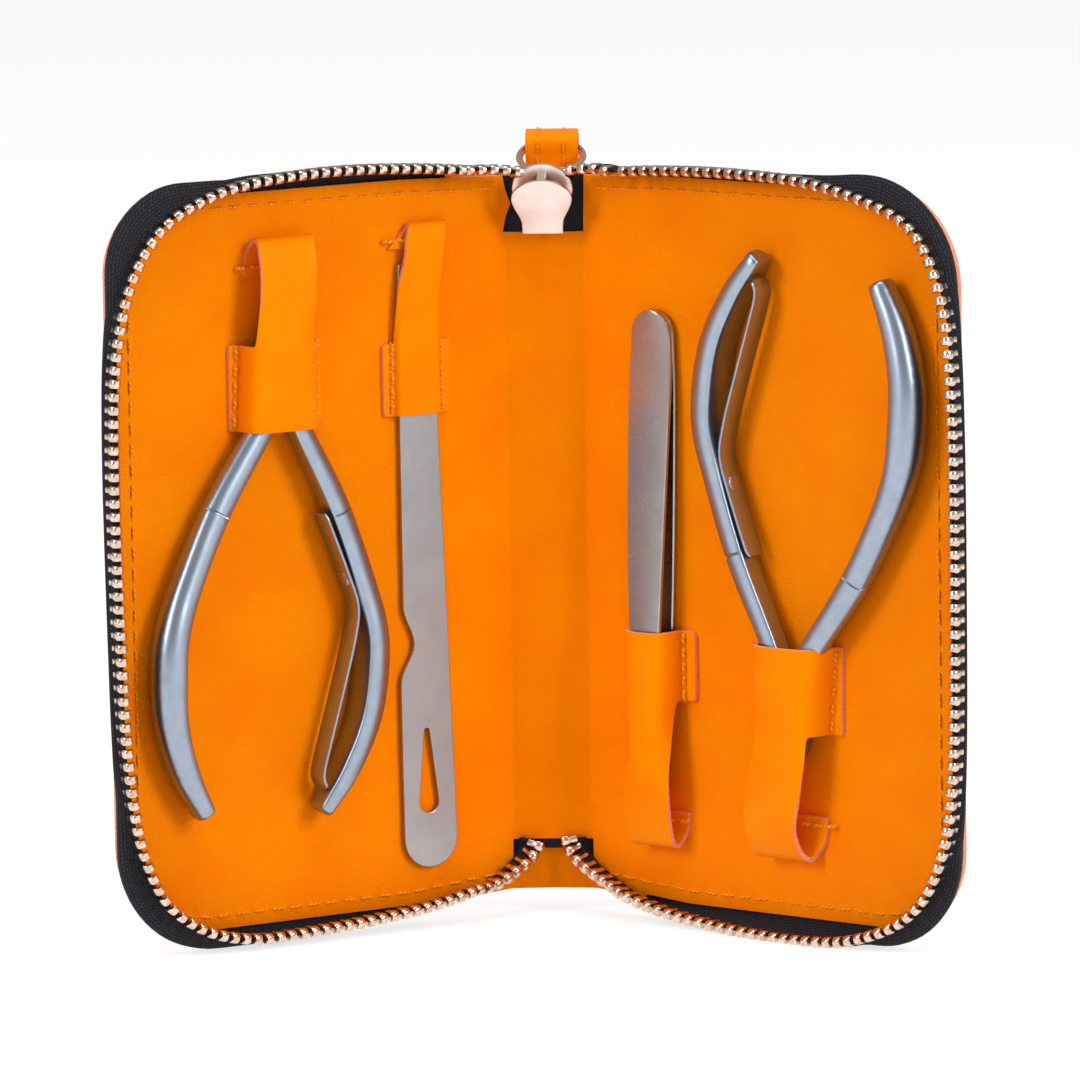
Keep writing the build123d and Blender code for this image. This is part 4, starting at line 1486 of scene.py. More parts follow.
    def build_turn(self, side: Side, top: bool, marks: list, distance: float) -> None:
        """Tape and teeth of one turn, fixed in place between the cover and the spine."""
        places = self.turn(side, top, marks)
        spot, way = self.at(marks, distance)
        reach = self.reach(side, spot, way)
        belly = self.fullness(spot, reach)[1]
        rings, uvs = [], []
        outwards = self.shape.direction(side, -way.y, 0, way.x)
        flip = 1 if places[0].out.dot(outwards) > 0 else -1
        for k, place in enumerate(places):
            line = self.turn_section(k / (len(places) - 1), reach, belly, top, place, side)
            rings.append(self.tape_ring(place, flip, line))
            uvs += self.tape_uvs(line, k * 0.5)
        end_name = "top" if top else "bottom"
        name = f"{side.label}_{end_name}_turn"
        bend = (side.cover, "spine", Vector((places[0].place.x, 0, 0)), Vector((places[-1].place.x, 0, 0)))
        tape = make_object(f"{name}_woven_tape", sweep(rings, uvs=uvs))
        dress(tape, self.finishes.tape, replaces=[f"{name}_tape"], bend=bend)
        row, passed, wanted = [], 0.0, self.first_tooth[side is Side.RIGHT] * self.pitch
        for a, b in zip(places, places[1:]):
            span = (b.place - a.place).length
            while wanted <= passed + span:
                share = (wanted - passed) / span
                along = a.along.lerp(b.along, share).normalized() * side.value
                head = a.head.lerp(b.head, share).normalized()
                row.append(Mark(a.place.lerp(b.place, share), along, head))
                wanted += self.pitch
            passed += span
        teeth = self.repeater.row(f"{name}_row", self.tooth(), row, self.finishes.tooth, seed=4)
        dress(teeth, self.finishes.tooth, replaces=[f"{name}_teeth"], bend=bend)


@dataclass
class SliderAndPull:
    """Zip slider with its bail, the wire ring and the folded leather tab on it."""

    finishes: Finishes
    stitching: Stitching
    tilt: float = 25.2
    length: float = 13.4
    front_length: float = 11.9
    deep: float = 4.7
    plate_t: float = 1.0
    mouth_half: float = 5.9
    tail_half: float = 4.0
    post_half: float = 0.9
    tail: Place = (0.0, -6.25, 59.3)
    wire_r: float = 0.7
    ring_r: float = 6.2
    ring_lean: float = 24.0
    pin: Place = (1.5, -5.45, 71.1)  # where the ring passes through the bail
    bail_half: float = 1.1
    bail_hole: float = 0.96
    bail_t: float = 0.74
    tab_half: float = 5.1
    tab_t: float = 0.75
    tab_roll: float = 2.6  # inner radius of the roll round the ring
    tab_off: float = 2.55  # gap between the spine's outer face and the glued ends
    tab_axis: float = 4.45  # middle of the tab's roll beyond the ring's centre
    tab_round: float = 3.0  # radius of the tab's end corners
    tab_join: float = 70.8  # Z where the two ends part for the roll
    tab_end: float = 44.0
    seams: Flat = (-2.7, 2.3)  # the two rows of stitches, across the tab

    def on_slider(self, spot: Vector) -> Vector:
        """Map a point of the flat slider, with Z towards its back, into the case."""
        up, back = self.axes()
        return Vector(self.tail) + Vector((spot.x, 0, 0)) + up * spot.y + back * spot.z

    def axes(self) -> tuple[Vector, Vector]:
        """Directions towards the mouth and the back of the slider, whose mouth leans forward."""
        turn = radians(self.tilt)
        return Vector((0, -sin(turn), cos(turn))), Vector((0, cos(turn), sin(turn)))

    def outline(self, length: float) -> list[Flat]:
        """Outline of a slider plate: narrow tail, hollow flanks, round shoulders, domed top."""
        half = [(self.tail_half, 0.0), (self.tail_half + 0.15, 3.0), (self.mouth_half - 0.45, 6.0),
                (self.mouth_half, 8.0), (self.mouth_half * 0.87, 4.0 + length / 2),
                (self.mouth_half * 0.5, 1.07 + length * 0.87), (0.0, length)]
        line = curve_through([Vector(p) for p in half], 6, Vector((0, 1)), Vector((-1, 0)))
        right = [tuple(p) for p in line]
        return right + [(-x, y) for x, y in reversed(right[:-1])]

    def build(self) -> None:
        """Build and dress slider, bail, ring and tab."""
        self.build_slider()
        self.build_bail()
        self.build_ring()
        self.build_tab()

    def build_slider(self) -> None:
        """Two plates joined by the post, with guide rails at the tail."""
        front = from_bmesh(plate(self.outline(self.front_length), 0.0, self.plate_t, 0.22), self.on_slider)
        back = self.deep - self.plate_t
        rear = from_bmesh(plate(self.outline(self.length), back, self.deep, 0.22), self.on_slider)
        half, top = self.post_half, self.front_length - 0.15
        right = [(half, top - 3.9), (half, top - 0.3), (half - 0.3, top)]
        post = right + [(-x, z) for x, z in reversed(right)] + [(0.0, top - 4.8)]
        parts = [("UNION", rear),
                 ("UNION", from_bmesh(plate(post, 0.3, self.deep - 0.3, 0.15), self.on_slider))]
        for side in Side:
            x0, x1 = sorted((side.value * (self.tail_half - 0.85), side.value * (self.tail_half - 0.05)))
            rail = [(x0, 0.25), (x1, 0.25), (x1, 6.5), (x0, 6.5)]
            for low, high in ((0.5, 1.8), (self.deep - 1.8, self.deep - 0.5)):
                parts.append(("UNION", from_bmesh(plate(rail, low, high, 0.12), self.on_slider)))
        slider = make_object("slider", combine(front, parts))
        dress(slider, self.finishes.slider, body="spine", replaces=["slider_body"])

    def build_bail(self) -> None:
        """Arch on the back of the slider that holds the ring."""
        up, back = self.axes()
        pin = Vector(self.pin)
        height = self.deep - (pin - Vector(self.tail)).dot(back)
        mid = self.bail_hole + self.bail_t / 2
        line = [pin + up * mid + back * height]
        line += [pin + up * mid * cos(t * pi / 12) - back * mid * sin(t * pi / 12) for t in range(13)]
        line += [pin - up * mid + back * height]
        rings = []
        side = Vector((1, 0, 0))
        for k, spot in enumerate(line):
            normal = heading(line, k).cross(side).normalized()
            section = soft_rect(self.bail_half, self.bail_t / 2, 0.2)
            rings.append([spot + side * x + normal * y for x, y in section])
        bail = make_object("bail", sweep(rings))
        dress(bail, self.finishes.ring, body="spine", replaces=["slider_bail"])

    def ring_frame(self) -> tuple[Vector, Vector]:
        """Centre of the ring and the direction from its pin."""
        lean = Vector((0, cos(radians(self.ring_lean)), sin(radians(self.ring_lean))))
        return Vector(self.pin) + lean * self.ring_r, lean

    def build_ring(self) -> None:
        """Closed wire ring."""
        centre, lean = self.ring_frame()
        side = Vector((1, 0, 0))
        normal = side.cross(lean).normalized()
        rings = []
        for k in range(72):
            turn = 2 * pi * k / 72
            out = side * cos(turn) + lean * sin(turn)
            rings.append([centre + out * (self.ring_r + self.wire_r * cos(t)) + normal * self.wire_r * sin(t)
                          for t in (2 * pi * n / 14 for n in range(14))])
        ring = make_object("wire_ring", sweep(rings, closed=True))
        dress(ring, self.finishes.ring, body="ring", replaces=["pull_ring"])

    def build_tab(self) -> None:
        """Leather strip rolled round the ring, its two ends glued and sewn together."""
        centre, lean = self.ring_frame()
        axis = centre + lean * self.tab_axis
        radius = self.tab_roll + self.tab_t / 2
        inner, outer = self.tab_off + self.tab_t / 2, self.tab_off + self.tab_t * 1.5
        heights = (self.tab_end, self.tab_end + 9, self.tab_end + 18, self.tab_join - 0.6)
        knots = [Vector((inner, z)) for z in heights]
        for turn in (168, 135, 100, 65, 30, -5, -40):
            knots.append(Vector((axis.y + radius * cos(radians(turn)), axis.z + radius * sin(radians(turn)))))
        knots += [Vector((outer, z)) for z in reversed(heights)]
        line = curve_through(knots, 5)
        points, columns = [], 13
        for spot in line:
            past = max(0.0, self.tab_end + self.tab_round - spot.y)
            half = self.tab_half - self.tab_round + sqrt(max(0.0, self.tab_round**2 - past**2))
            for k in range(columns):
                share = 2 * k / (columns - 1) - 1
                points.append(Vector((self.pin[0] + share * half, spot.x, spot.y)))
        tab = make_object("leather_tab", make_mesh(points, grid_faces(len(line), columns)))
        tab.data.materials.append(self.finishes.pocket)
        thicken(tab, self.finishes.edge, self.tab_t, 0.12)
        dress(tab, self.finishes.pocket, body="tab", replaces=["pull_tab"])
        marks = []
        for x in self.seams:
            for spot, way in resample([p.to_3d() for p in line], 3.4, 1.2):
                ahead = heading(line, min(range(len(line)), key=lambda k: (line[k].to_3d() - spot).length))
                out = Vector((0, -ahead.y, ahead.x))
                # away from the middle of the loop, on its straight part and on its round one
                if out.dot(Vector((0, spot.x - axis.y, 0))) < 0 and spot.y < axis.z:
                    out = -out
                if spot.y >= axis.z and out.dot(Vector((0, spot.x - axis.y, spot.y - axis.z))) < 0:
                    out = -out
                surface = Vector((self.pin[0] + x, spot.x, spot.y)) + out * self.tab_t / 2
                marks.append(Mark(surface, Vector((0, way.x, way.y)), out))
        self.stitching.seam("tab_seam", "tab", marks, 2.9, 31, thread=0.2)


# ---- holders

TAB_W = 1.83  # middle of a glued tab above the middle of the cover's leather


@dataclass(frozen=True)
class HolderPlan:
    """Sizes of one leather holder on its flat cover.

    The loop runs from the mouth over the depth, glued and sewn at both tabs. The strap goes
    on from the loop's crown, turns round at the apex and is sewn down at its flap.
    """

    name: str
    side: Side
    mouth: float
    depth: float
    arch: tuple[Flat, ...]  # (v, w) across the loop, tab to tab
    narrowing: Flat  # shift of the two walls at the deep end
    strap: tuple[Flat, ...]  # strap edges (v, v) at the loop, half way, three quarters, apex and flap
    crown: float
    apex: float
    flap_end: float
    seams: tuple[Flat, ...]  # seam v at the mouth and at the deep end
    fold_height: float = 0.55

    @property
    def into(self) -> int:
        """Direction of Z from the mouth to the strap, 1 or -1."""
        return 1 if self.apex > self.mouth else -1


@dataclass
class Holders:
    """Four leather holders, each one piece with raw edges and heavy stitches."""

    shape: CaseShape
    finishes: Finishes
    stitching: Stitching
    leather_t: float = 0.95
    steps: int = 3
    loop_rows: int = 6
    tab_top: float = 1.9  # points lower than this are glued tabs, which don't narrow
    hand_over: int = 8  # rows in which the strap leaves the loop's section for its own
    stations: tuple[float, ...] = (0.0, 1 / 7, 2 / 7, 4 / 7, 1.0)
    plans: tuple[HolderPlan, ...] = (
        HolderPlan(
            "left_nipper_pocket", Side.LEFT, 25.5, 16.5,
            ((42.6, TAB_W), (44.0, TAB_W), (45.1, 2.3), (45.8, 4.3), (46.4, 6.6), (47.9, 8.3), (50.8, 8.8),
             (55.0, 8.7), (58.6, 8.5), (60.4, 7.2), (61.0, 4.4), (61.3, 2.3), (61.9, TAB_W), (62.9, TAB_W)),
            (0.0, -0.9), ((47.4, 59.7), (46.8, 58.5), (46.3, 58.4), (45.6, 57.9), (46.5, 59.2)),
            8.7, 62.3, 55.3, ((43.6, 43.6), (62.2, 61.5))),
        HolderPlan(
            "file_pocket", Side.LEFT, 25.5, 14.0,
            ((13.6, TAB_W), (15.2, TAB_W), (16.3, 2.1), (16.8, 3.0), (17.6, 3.35), (21.0, 3.5),
             (25.0, 3.35), (25.8, 3.0), (26.3, 2.1), (27.2, TAB_W), (28.7, TAB_W)),
            (0.2, 0.0), ((16.9, 26.2), (16.4, 25.3), (15.8, 24.2), (14.6, 22.8), (16.9, 27.0)),
            3.5, 62.6, 58.0, ((15.7, 15.9), (27.0, 26.8)), 0.8),
        HolderPlan(
            "tweezer_pocket", Side.RIGHT, -17.3, 13.7,
            ((11.3, TAB_W), (12.4, TAB_W), (13.0, 2.4), (13.3, 4.6), (14.0, 7.2), (15.6, 8.4), (18.0, 8.6),
             (20.6, 8.4), (22.1, 7.2), (22.8, 4.8), (23.2, 2.4), (24.0, TAB_W), (26.7, TAB_W)),
            (0.4, -0.1), ((13.4, 22.9), (13.2, 23.6), (13.2, 23.6), (13.4, 23.6), (13.2, 24.6)),
            8.4, -59.4, -53.2, ((12.6, 12.6), (24.2, 24.2))),
        HolderPlan(
            "right_nipper_pocket", Side.RIGHT, -17.5, 17.0,
            ((41.4, TAB_W), (43.0, TAB_W), (43.6, 2.4), (44.0, 4.8), (44.9, 7.4), (47.2, 8.7), (51.6, 9.0),
             (56.8, 8.6), (59.0, 7.0), (59.8, 4.6), (60.2, 2.3), (60.8, TAB_W), (61.8, TAB_W)),
            (0.0, -1.6), ((44.4, 57.4), (42.6, 55.2), (42.4, 54.0), (43.9, 55.8), (45.5, 58.0)),
            8.9, -59.0, -51.0, ((42.4, 42.4), (60.7, 59.4))),
    )

    def arch(self, plan: HolderPlan, deep: float) -> list[Vector]:
        """Section (v, w) of the loop's middle surface.

        Args:
            plan: Which holder.
            deep: Share of the way from the mouth to the deep end.

        Returns:
            Points from tab to tab.
        """
        line = curve_through([Vector(p) for p in plan.arch], self.steps)
        middle = (plan.arch[0][0] + plan.arch[-1][0]) / 2
        for spot in line:
            if spot.y > self.tab_top:
                spot.x += deep * plan.narrowing[spot.x > middle]
        return line

    def strap_line(self, plan: HolderPlan) -> list[Vector]:
        """Middle line (w, z) of the strap, from the loop round the apex to the flap's end."""
        into = plan.into
        low, crown = self.shape.inner + self.leather_t / 2, plan.crown
        start = plan.mouth + into * plan.depth
        turn = low + (crown - low) * plan.fold_height
        span = abs(plan.apex - start)
        # level off the crown, down to the apex, then tucked back under itself
        knots = [(crown, start), (crown - 0.1, plan.apex - into * 0.55 * span),
                 (low + (turn - low) * 1.5, plan.apex - into * 0.24 * span),
                 (turn + 0.4, plan.apex - into * 0.9), (low + (turn - low) * 0.55, plan.apex),
                 (low + (turn - low) * 0.14, plan.apex - into * 1.5), (low, plan.apex - into * 3.4),
                 (low, plan.flap_end)]
        return curve_through([Vector(k) for k in knots], 4, first=Vector((0, into)), last=Vector((0, -into)))

    def strap_edges(self, plan: HolderPlan, share: float) -> Flat:
        """Edges (v, v) of the strap at a share of its length."""
        for k, (a, b) in enumerate(zip(self.stations, self.stations[1:])):
            if share <= b:
                part = (share - a) / (b - a)
                part = part * part * (3 - 2 * part)
                (p, q), (r, s) = plan.strap[k], plan.strap[k + 1]
                return p + (r - p) * part, q + (s - q) * part
        return plan.strap[-1]

    def surface(self, plan: HolderPlan) -> Mesh:
        """Middle surface of a holder: the loop, then the strap that goes on from its crown."""
        rows = self.loop_rows + 1
        sections = [self.arch(plan, j / self.loop_rows) for j in range(rows)]
        columns = len(sections[0])
        points = []
        for i in range(columns):
            for j, section in enumerate(sections):
                z = plan.mouth + plan.into * plan.depth * j / self.loop_rows
                points.append(self.shape.cover(plan.side, section[i].x, section[i].y, z))
        faces = grid_faces(columns, rows)
        deep = sections[-1]
        chosen = [i for i in range(columns) if plan.strap[0][0] <= deep[i].x <= plan.strap[0][1]]
        first, last = chosen[0], chosen[-1]
        previous = [i * rows + rows - 1 for i in range(first, last + 1)]
        line = self.strap_line(plan)
        for k, spot in enumerate(line[1:], 1):
            v0, v1 = self.strap_edges(plan, k / (len(line) - 1))
            keep = max(0.0, 1 - k / self.hand_over) ** 1.5
            now = []
            for i in range(first, last + 1):
                share = (i - first) / (last - first)
                v = (v0 + (v1 - v0) * share) * (1 - keep) + deep[i].x * keep
                w = spot.x - (plan.crown - deep[i].y) * keep
                now.append(len(points))
                points.append(self.shape.cover(plan.side, v, w, spot.y))
            faces += [[previous[n], previous[n + 1], now[n + 1], now[n]] for n in range(len(now) - 1)]
            previous = now
        return make_mesh(points, faces)

    def sew(self, plan: HolderPlan, seed: int) -> None:
        """Heavy stitches down both tabs and across the flap."""
        into = plan.into
        surface = self.shape.inner + self.leather_t
        marks = []
        for near, far in plan.seams:
            line = [Vector((near, plan.mouth + into * 0.3)),
                    Vector((far, plan.mouth + into * (plan.depth + 0.4)))]
            marks += self.stitching.line(plan.side, line, surface, 1, plan.depth / 5)
        z = plan.flap_end + into * 1.6
        left, right = plan.strap[-1]
        flap = [Vector((left - 0.9, z)), Vector((right + 0.9, z))]
        marks += self.stitching.line(plan.side, flap, surface, 1, 3.1)
        self.stitching.seam(f"{plan.name}_seam", plan.side.cover, marks, 3.0, seed, thread=0.42)

    def build(self) -> None:
        """Build, dress and sew the holders."""
        for number, plan in enumerate(self.plans):
            piece = make_object(f"{plan.name}_leather", self.surface(plan))
            piece.data.materials.append(self.finishes.pocket)
            smooth = piece.modifiers.new("smooth", "SUBSURF")
            smooth.levels = smooth.render_levels = 1
            thicken(piece, self.finishes.edge, self.leather_t, 0.1)
            dress(piece, self.finishes.pocket, body=plan.side.cover, replaces=[plan.name])
            self.sew(plan, 20 + number)


# ---- tools


def circle(radius: float, count: int = 32) -> list[Flat]:
    """Outline of a disc."""
    return [(radius * cos(2 * pi * k / count), radius * sin(2 * pi * k / count)) for k in range(count)]


@dataclass
class Nipper:
    """Cuticle nipper: two lap-jointed levers, rivet, leaf spring and its screw."""

    shape: CaseShape
    finishes: Finishes
    side: Side
    v: float  # rivet's place on the cover
    z: float
    tilt: float
    up: int  # 1 when the handles point up, -1 when they point down
    thick: float = 5.4
    grip_t: float = 7.2
    hub_r: float = 6.0
    lap_gap: float = 0.1
    rivet_r: float = 1.5
    rivet_gap: float = 0.05
    rivet_out: float = 0.1
    spring_t: float = 0.6
    spring_wide: float = 5.2
    screw_at: float = 37.6
    screw_r: float = 1.7
    jaw_tip_t: float = 2.6
    mark_at: float = 25.0
    mark_deep: float = 0.4
    lift: float = 0.3  # clearance between the handles and the lining
    spread: Flat = (0.0, 0.0)  # extra opening of the two handles at spread_at
    spread_at: float = 80.0
    # handle: (inner edge from the middle line, distance from the rivet, width, thickness)
    stations: tuple[tuple[float, float, float, float], ...] = (
        (0.6, 4.5, 4.2, 4.8), (2.4, 9.0, 4.4, 4.9), (10.3, 23.0, 5.0, 5.6), (15.8, 35.5, 5.1, 6.6),
        (19.6, 47.0, 5.4, 7.8), (20.1, 56.0, 5.7, 8.1), (19.1, 66.0, 5.4, 7.8), (15.8, 75.5, 4.8, 7.0),
        (11.7, 83.0, 3.7, 5.8))
    spring: tuple[Flat, ...] = (
        (9.9, 25.4), (12.4, 30.5), (15.4, 36.9), (18.0, 43.4), (17.6, 50.0), (15.5, 60.0), (12.8, 71.8),
        (12.0, 76.5), (13.0, 79.0))
    jaw: tuple[Flat, ...] = (
        (0.35, -4.6), (1.35, -17.0), (2.0, -17.0), (4.6, -10.5), (5.9, -3.0), (3.0, -1.0))

    def place(self, spot: Vector) -> Vector:
        """Map a point of the tool (across, along, out of its middle) into the case."""
        turn = radians(self.tilt)
        v = self.v + spot.x * cos(turn) + spot.y * sin(turn)
        z = self.z + self.up * (spot.y * cos(turn) - spot.x * sin(turn))
        middle = self.shape.inner + self.lift + self.grip_t / 2
        return self.shape.cover(self.side, v, middle + self.up * spot.z, z)

    def handle_line(self, hand: int) -> list[tuple[Vector, Vector, float, float]]:
        """Stations along a handle: place, direction, width, thickness and depth of the index mark."""
        spread = self.spread[hand > 0]
        knots = [Vector((hand * (a + wide / 2 + spread * t / self.spread_at), t, wide, thick))
                 for a, t, wide, thick in self.stations]
        fine = curve_through(knots, 7)
        cut = [k for k, p in enumerate(fine) if p.y < self.mark_at][-1]
        share = (self.mark_at - fine[cut].y) / (fine[cut + 1].y - fine[cut].y)
        middle = fine[cut].lerp(fine[cut + 1], share)
        way = (fine[cut + 1] - fine[cut]).normalized()
        marks = [middle + way * d for d in (-0.3, -0.12, 0.12, 0.3)]
        fine = fine[:cut + 1 - (share < 0.1)] + marks + fine[cut + 1 + (share > 0.9):]
        flat = [p.to_2d() for p in fine]
        return [(flat[k], heading(flat, k), p.z, p.w, self.mark_deep if p in marks[1:3] else 0.0)
                for k, p in enumerate(fine)]

    def section(self, wide: float, thick: float, groove: float) -> list[Flat]:
        """Half-round section: a flat inner face, a facet each side of it and a full outer curve."""
        half, flank = thick / 2, -0.12 * wide
        lift = self.up * max(0.0, half - self.grip_t / 2)
        upper = [(-wide / 2 + 0.12, half - 0.3), (-wide / 2 + 0.4, half - 0.1), (flank, half)]
        for k in range(1, 9):
            turn = pi / 2 * k / 8
            upper.append((flank + (wide / 2 - flank) * sin(turn) ** 0.9, half * cos(turn) ** 0.85))
        ring = [(-wide / 2, (half - 0.7) * (k / 2 - 1)) for k in range(5)]
        ring += upper + [(x, -y) for x, y in reversed(upper[:-1])]
        notched = []
        for x, y in ring:
            deep = groove if y * self.up > 0.25 * half and x > flank - 0.1 else 0.0
            notched.append((x - deep * 0.5, y * (1 - deep / half) + lift))
        return notched

    def lever(self, hand: int, layer: int) -> Mesh:
        """One half of the nipper.

        Args:
            hand: Side of the handle, -1 or 1.
            layer: Half of the lap joint that it takes, -1 or 1.

        Returns:
            Its closed mesh in the tool's own frame, in metres.
        """
        rings = []
        line = self.handle_line(hand)
        tip, way, wide, thick, _ = line[-1]
        for ahead, size in ((0.5, 0.93), (0.85, 0.8), (0.95, 0.6)):
            line.append((tip + way * ahead, way, wide * size, thick * size, 0.0))
        for spot, way, wide, thick, groove in line:
            out = Vector((way.y, -way.x)) * hand
            rings.append([Vector((*(spot + out * x), y)) for x, y in self.section(wide, thick, groove)])
        body = sweep(rings)
        half = self.thick / 2
        hub = from_bmesh(plate(circle(self.hub_r, 48), -half, half, 1.3), Vector)
        flat = plate([(-hand * a, t) for a, t in self.jaw], -half, half, 0.2)
        for vert in flat.verts:
            share = min(1.0, max(0.0, (-vert.co.y - 4.6) / 12.4))
            vert.co.z *= 1 - share * (1 - self.jaw_tip_t / self.thick)
        other = from_bmesh(plate(circle(self.hub_r + self.lap_gap, 48), -half, half, 0.05),
                           lambda p: p + Vector((0, 0, -layer * (half - self.lap_gap / 4))))
        bore = circle(self.rivet_r + self.rivet_gap)
        hole = from_bmesh(plate(bore, -self.thick, self.thick, 0.05), Vector)
        return combine(body, [("UNION", hub), ("UNION", from_bmesh(flat, Vector)), ("DIFFERENCE", other),
                              ("DIFFERENCE", hole)])

    def leaf(self) -> Mesh:
        """Flat spring that stands off the near handle."""
        share = self.spread[0] / self.spread_at
        line = curve_through([Vector((-a - share * t, t)) for a, t in self.spring], 7)
        rings = []
        for k, spot in enumerate(line):
            way = heading(line, k)
            out = Vector((way.y, -way.x))
            end = min(k, len(line) - 1 - k)
            half = self.spring_wide / 2 * (0.72 if end == 0 else 0.92 if end == 1 else 1.0)
            section = soft_rect(half, self.spring_t / 2, 0.18, 2)
            rings.append([Vector((*(spot + out * y), x)) for x, y in section])
        return sweep(rings)

    def screw(self) -> Mesh:
        """Slotted screw that holds the spring on the near handle."""
        line = self.handle_line(-1)
        seat = min(line, key=lambda s: abs(s[0].y - self.screw_at))
        way = seat[1]
        inward = Vector((way.y, -way.x))
        thread = plate(circle(0.7, 20), 0.3, 3.2, 0.05)
        head = plate(circle(self.screw_r), 2.75, 3.75, 0.3)
        slot = plate([(-2.2, -0.22), (2.2, -0.22), (2.2, 0.22), (-2.2, 0.22)], 3.3, 4.5, 0.02)

        def put(spot: Vector) -> Vector:
            """Map a point of the upright screw onto the handle."""
            flat = seat[0] + way * spot.x + inward * spot.z
            return Vector((flat.x, flat.y, spot.y))

        return combine(from_bmesh(head, put), [("DIFFERENCE", from_bmesh(slot, put)),
                                               ("UNION", from_bmesh(thread, put))])

    def build(self) -> None:
        """Build and dress the five pieces."""
        body = f"{self.side.label}_nipper"
        half = self.thick / 2 + self.rivet_out
        rivet = from_bmesh(plate(circle(self.rivet_r), -half, half, 0.12), Vector)
        pieces = (("handle_a", self.lever(-1, -1), body), ("handle_b", self.lever(1, 1), f"{body}_far"),
                  ("pivot", rivet, body), ("leaf_spring", self.leaf(), body),
                  ("spring_screw", self.screw(), body))
        for name, mesh, rides in pieces:
            for vert in mesh.vertices:
                vert.co = self.place(vert.co / MM) * MM
            tidy_normals(mesh)
            piece = make_object(f"{body}_{name}_steel", mesh)
            dress(piece, self.finishes.forged, body=rides, replaces=[f"{body}_{name}"])


@dataclass
class NailFile:
    """Flat steel file with a hooked waist and a drop-shaped slot."""

    shape: CaseShape
    finishes: Finishes
    low: float = 1.85
    thick: float = 1.0
    slot_r: float = 2.2
    end_at: Flat = (20.0, -58.0)
    end_r: float = 5.9

    def build(self) -> None:
        """Build and dress the file."""
        waist = curve_through([Vector((25.4, -12.0)), Vector((23.1, -19.6)), Vector((26.2, -27.2))], 10,
                              Vector((0, -1)), Vector((0, -1)))
        end_v, end_z = self.end_at
        round_end = [(end_v + self.end_r * cos(radians(t)), end_z + self.end_r * sin(radians(t)))
                     for t in range(0, -181, -12)]
        outline = [(25.3, 55.0), (25.5, 25.6), (25.45, 6.0)] + [tuple(p) for p in waist]
        outline += [(26.1, -42.0), *round_end, (15.5, -16.0), (17.0, 24.9), (17.8, 55.0)]
        slot = [(20.3 + self.slot_r * cos(radians(t)), -50.9 + self.slot_r * sin(radians(t)))
                for t in range(170, 371, 20)]
        slot += [(20.6 + 0.6 * cos(radians(t)), -36.9 + 0.6 * sin(radians(t))) for t in range(10, 171, 32)]
        work = plate(outline, self.low, self.low + self.thick, 0.16, [slot])
        mesh = from_bmesh(work, lambda p: self.shape.cover(Side.LEFT, p.x, p.z, p.y))
        tidy_normals(mesh, 20)
        piece = make_object("nail_file_steel", mesh)
        dress(piece, self.finishes.ground, body="file", replaces=["nail_file"])


@dataclass
class Tweezers:
    """Two sprung arms of sheet steel, welded at the round end."""

    shape: CaseShape
    finishes: Finishes
    v: float = 18.0
    thick: float = 1.1
    low: float = 1.65
    weld_z: float = 38.0
    top: float = 45.3
    widths: tuple[Flat, ...] = ((-49.0, 1.0), (-17.7, 3.55), (26.0, 4.85))  # (z, half width)
    round_z: float = 40.7  # where the round end starts
    round_half: float = 4.6
    least_half: float = 0.35
    reach: float = 87.0  # length of the arms below the weld

    def half_width(self, z: float) -> float:
        """Half width of the arms at a height."""
        knots = [Vector(k) for k in (*self.widths, (self.round_z, self.round_half))]
        if z > self.round_z:
            share = (z - self.round_z) / (self.top - self.round_z)
            return self.round_half * sqrt(max(0.0, 1 - share**2))
        line = curve_through(knots, 12)
        for a, b in zip(line, line[1:]):
            if a.x <= z <= b.x:
                return a.y + (b.y - a.y) * (z - a.x) / (b.x - a.x)
        return knots[0].y

    def arm(self, line: Sequence[Flat], crown: float) -> Mesh:
        """One arm along a (height, z) line, a little crowned across."""
        spots = [Vector(p) for p in line]
        rings = []
        for k, spot in enumerate(spots):
            way = heading(spots, k)
            normal = Vector((-way.y, way.x))
            half = max(self.half_width(spot.y), self.least_half)
            ring = []
            for x, y in self.face(half, crown):
                flat = spot + normal * y
                ring.append(self.shape.cover(Side.RIGHT, self.v + x, flat.x, flat.y))
            rings.append(ring)
        return sweep(rings)

    def face(self, half: float, crown: float) -> list[Flat]:
        """Section of an arm: flat underneath, crowned on top, with eased corners."""
        ease, t = min(0.22, half * 0.4), self.thick / 2
        shares = [-1 + 2 * k / 8 for k in range(9)]
        top = [((half - ease) * s, t + crown * (1 - s * s)) for s in shares]
        low = [((half - ease) * s, -t) for s in reversed(shares)]
        return [*top, (half, t - ease), (half, -t + ease), *low, (-half, -t + ease), (-half, t - ease)]

    def build(self) -> None:
        """Build and dress both arms."""
        middle = self.low + self.thick / 2
        ends = [*(self.top - d for d in (0.02, 0.3, 0.9, 1.8, 3.2)), self.round_z, self.weld_z]
        back = [(middle, z) for z in ends]
        back += [(middle, self.weld_z - self.reach * k / 24) for k in range(1, 25)]
        bow = curve_through([Vector((middle + self.thick, self.weld_z)), Vector((middle + 2.5, 20.0)),
                             Vector((middle + 4.5, -18.0)), Vector((middle + 3.4, -49.0))], 12,
                            Vector((0.035, -1)), Vector((-0.1, -1)))
        front = [(middle + self.thick, z) for z in ends[:-1]] + [tuple(p) for p in bow]
        arms = (("back", back, 0.0, "tweezers"), ("front", front, 0.08, "tweezers_front"))
        for name, line, crown, body in arms:
            piece = make_object(f"tweezers_{name}_steel", self.arm(line, crown))
            dress(piece, self.finishes.brushed, body=body, replaces=[f"tweezers_{name}_arm"])


# ---- studio


@dataclass(frozen=True)
class Lamp:
    """One soft box: where it stands, its size and its power."""

    name: str
    place: Place
    size: Flat
    power: float
    colour: str = "#FFFFFF"


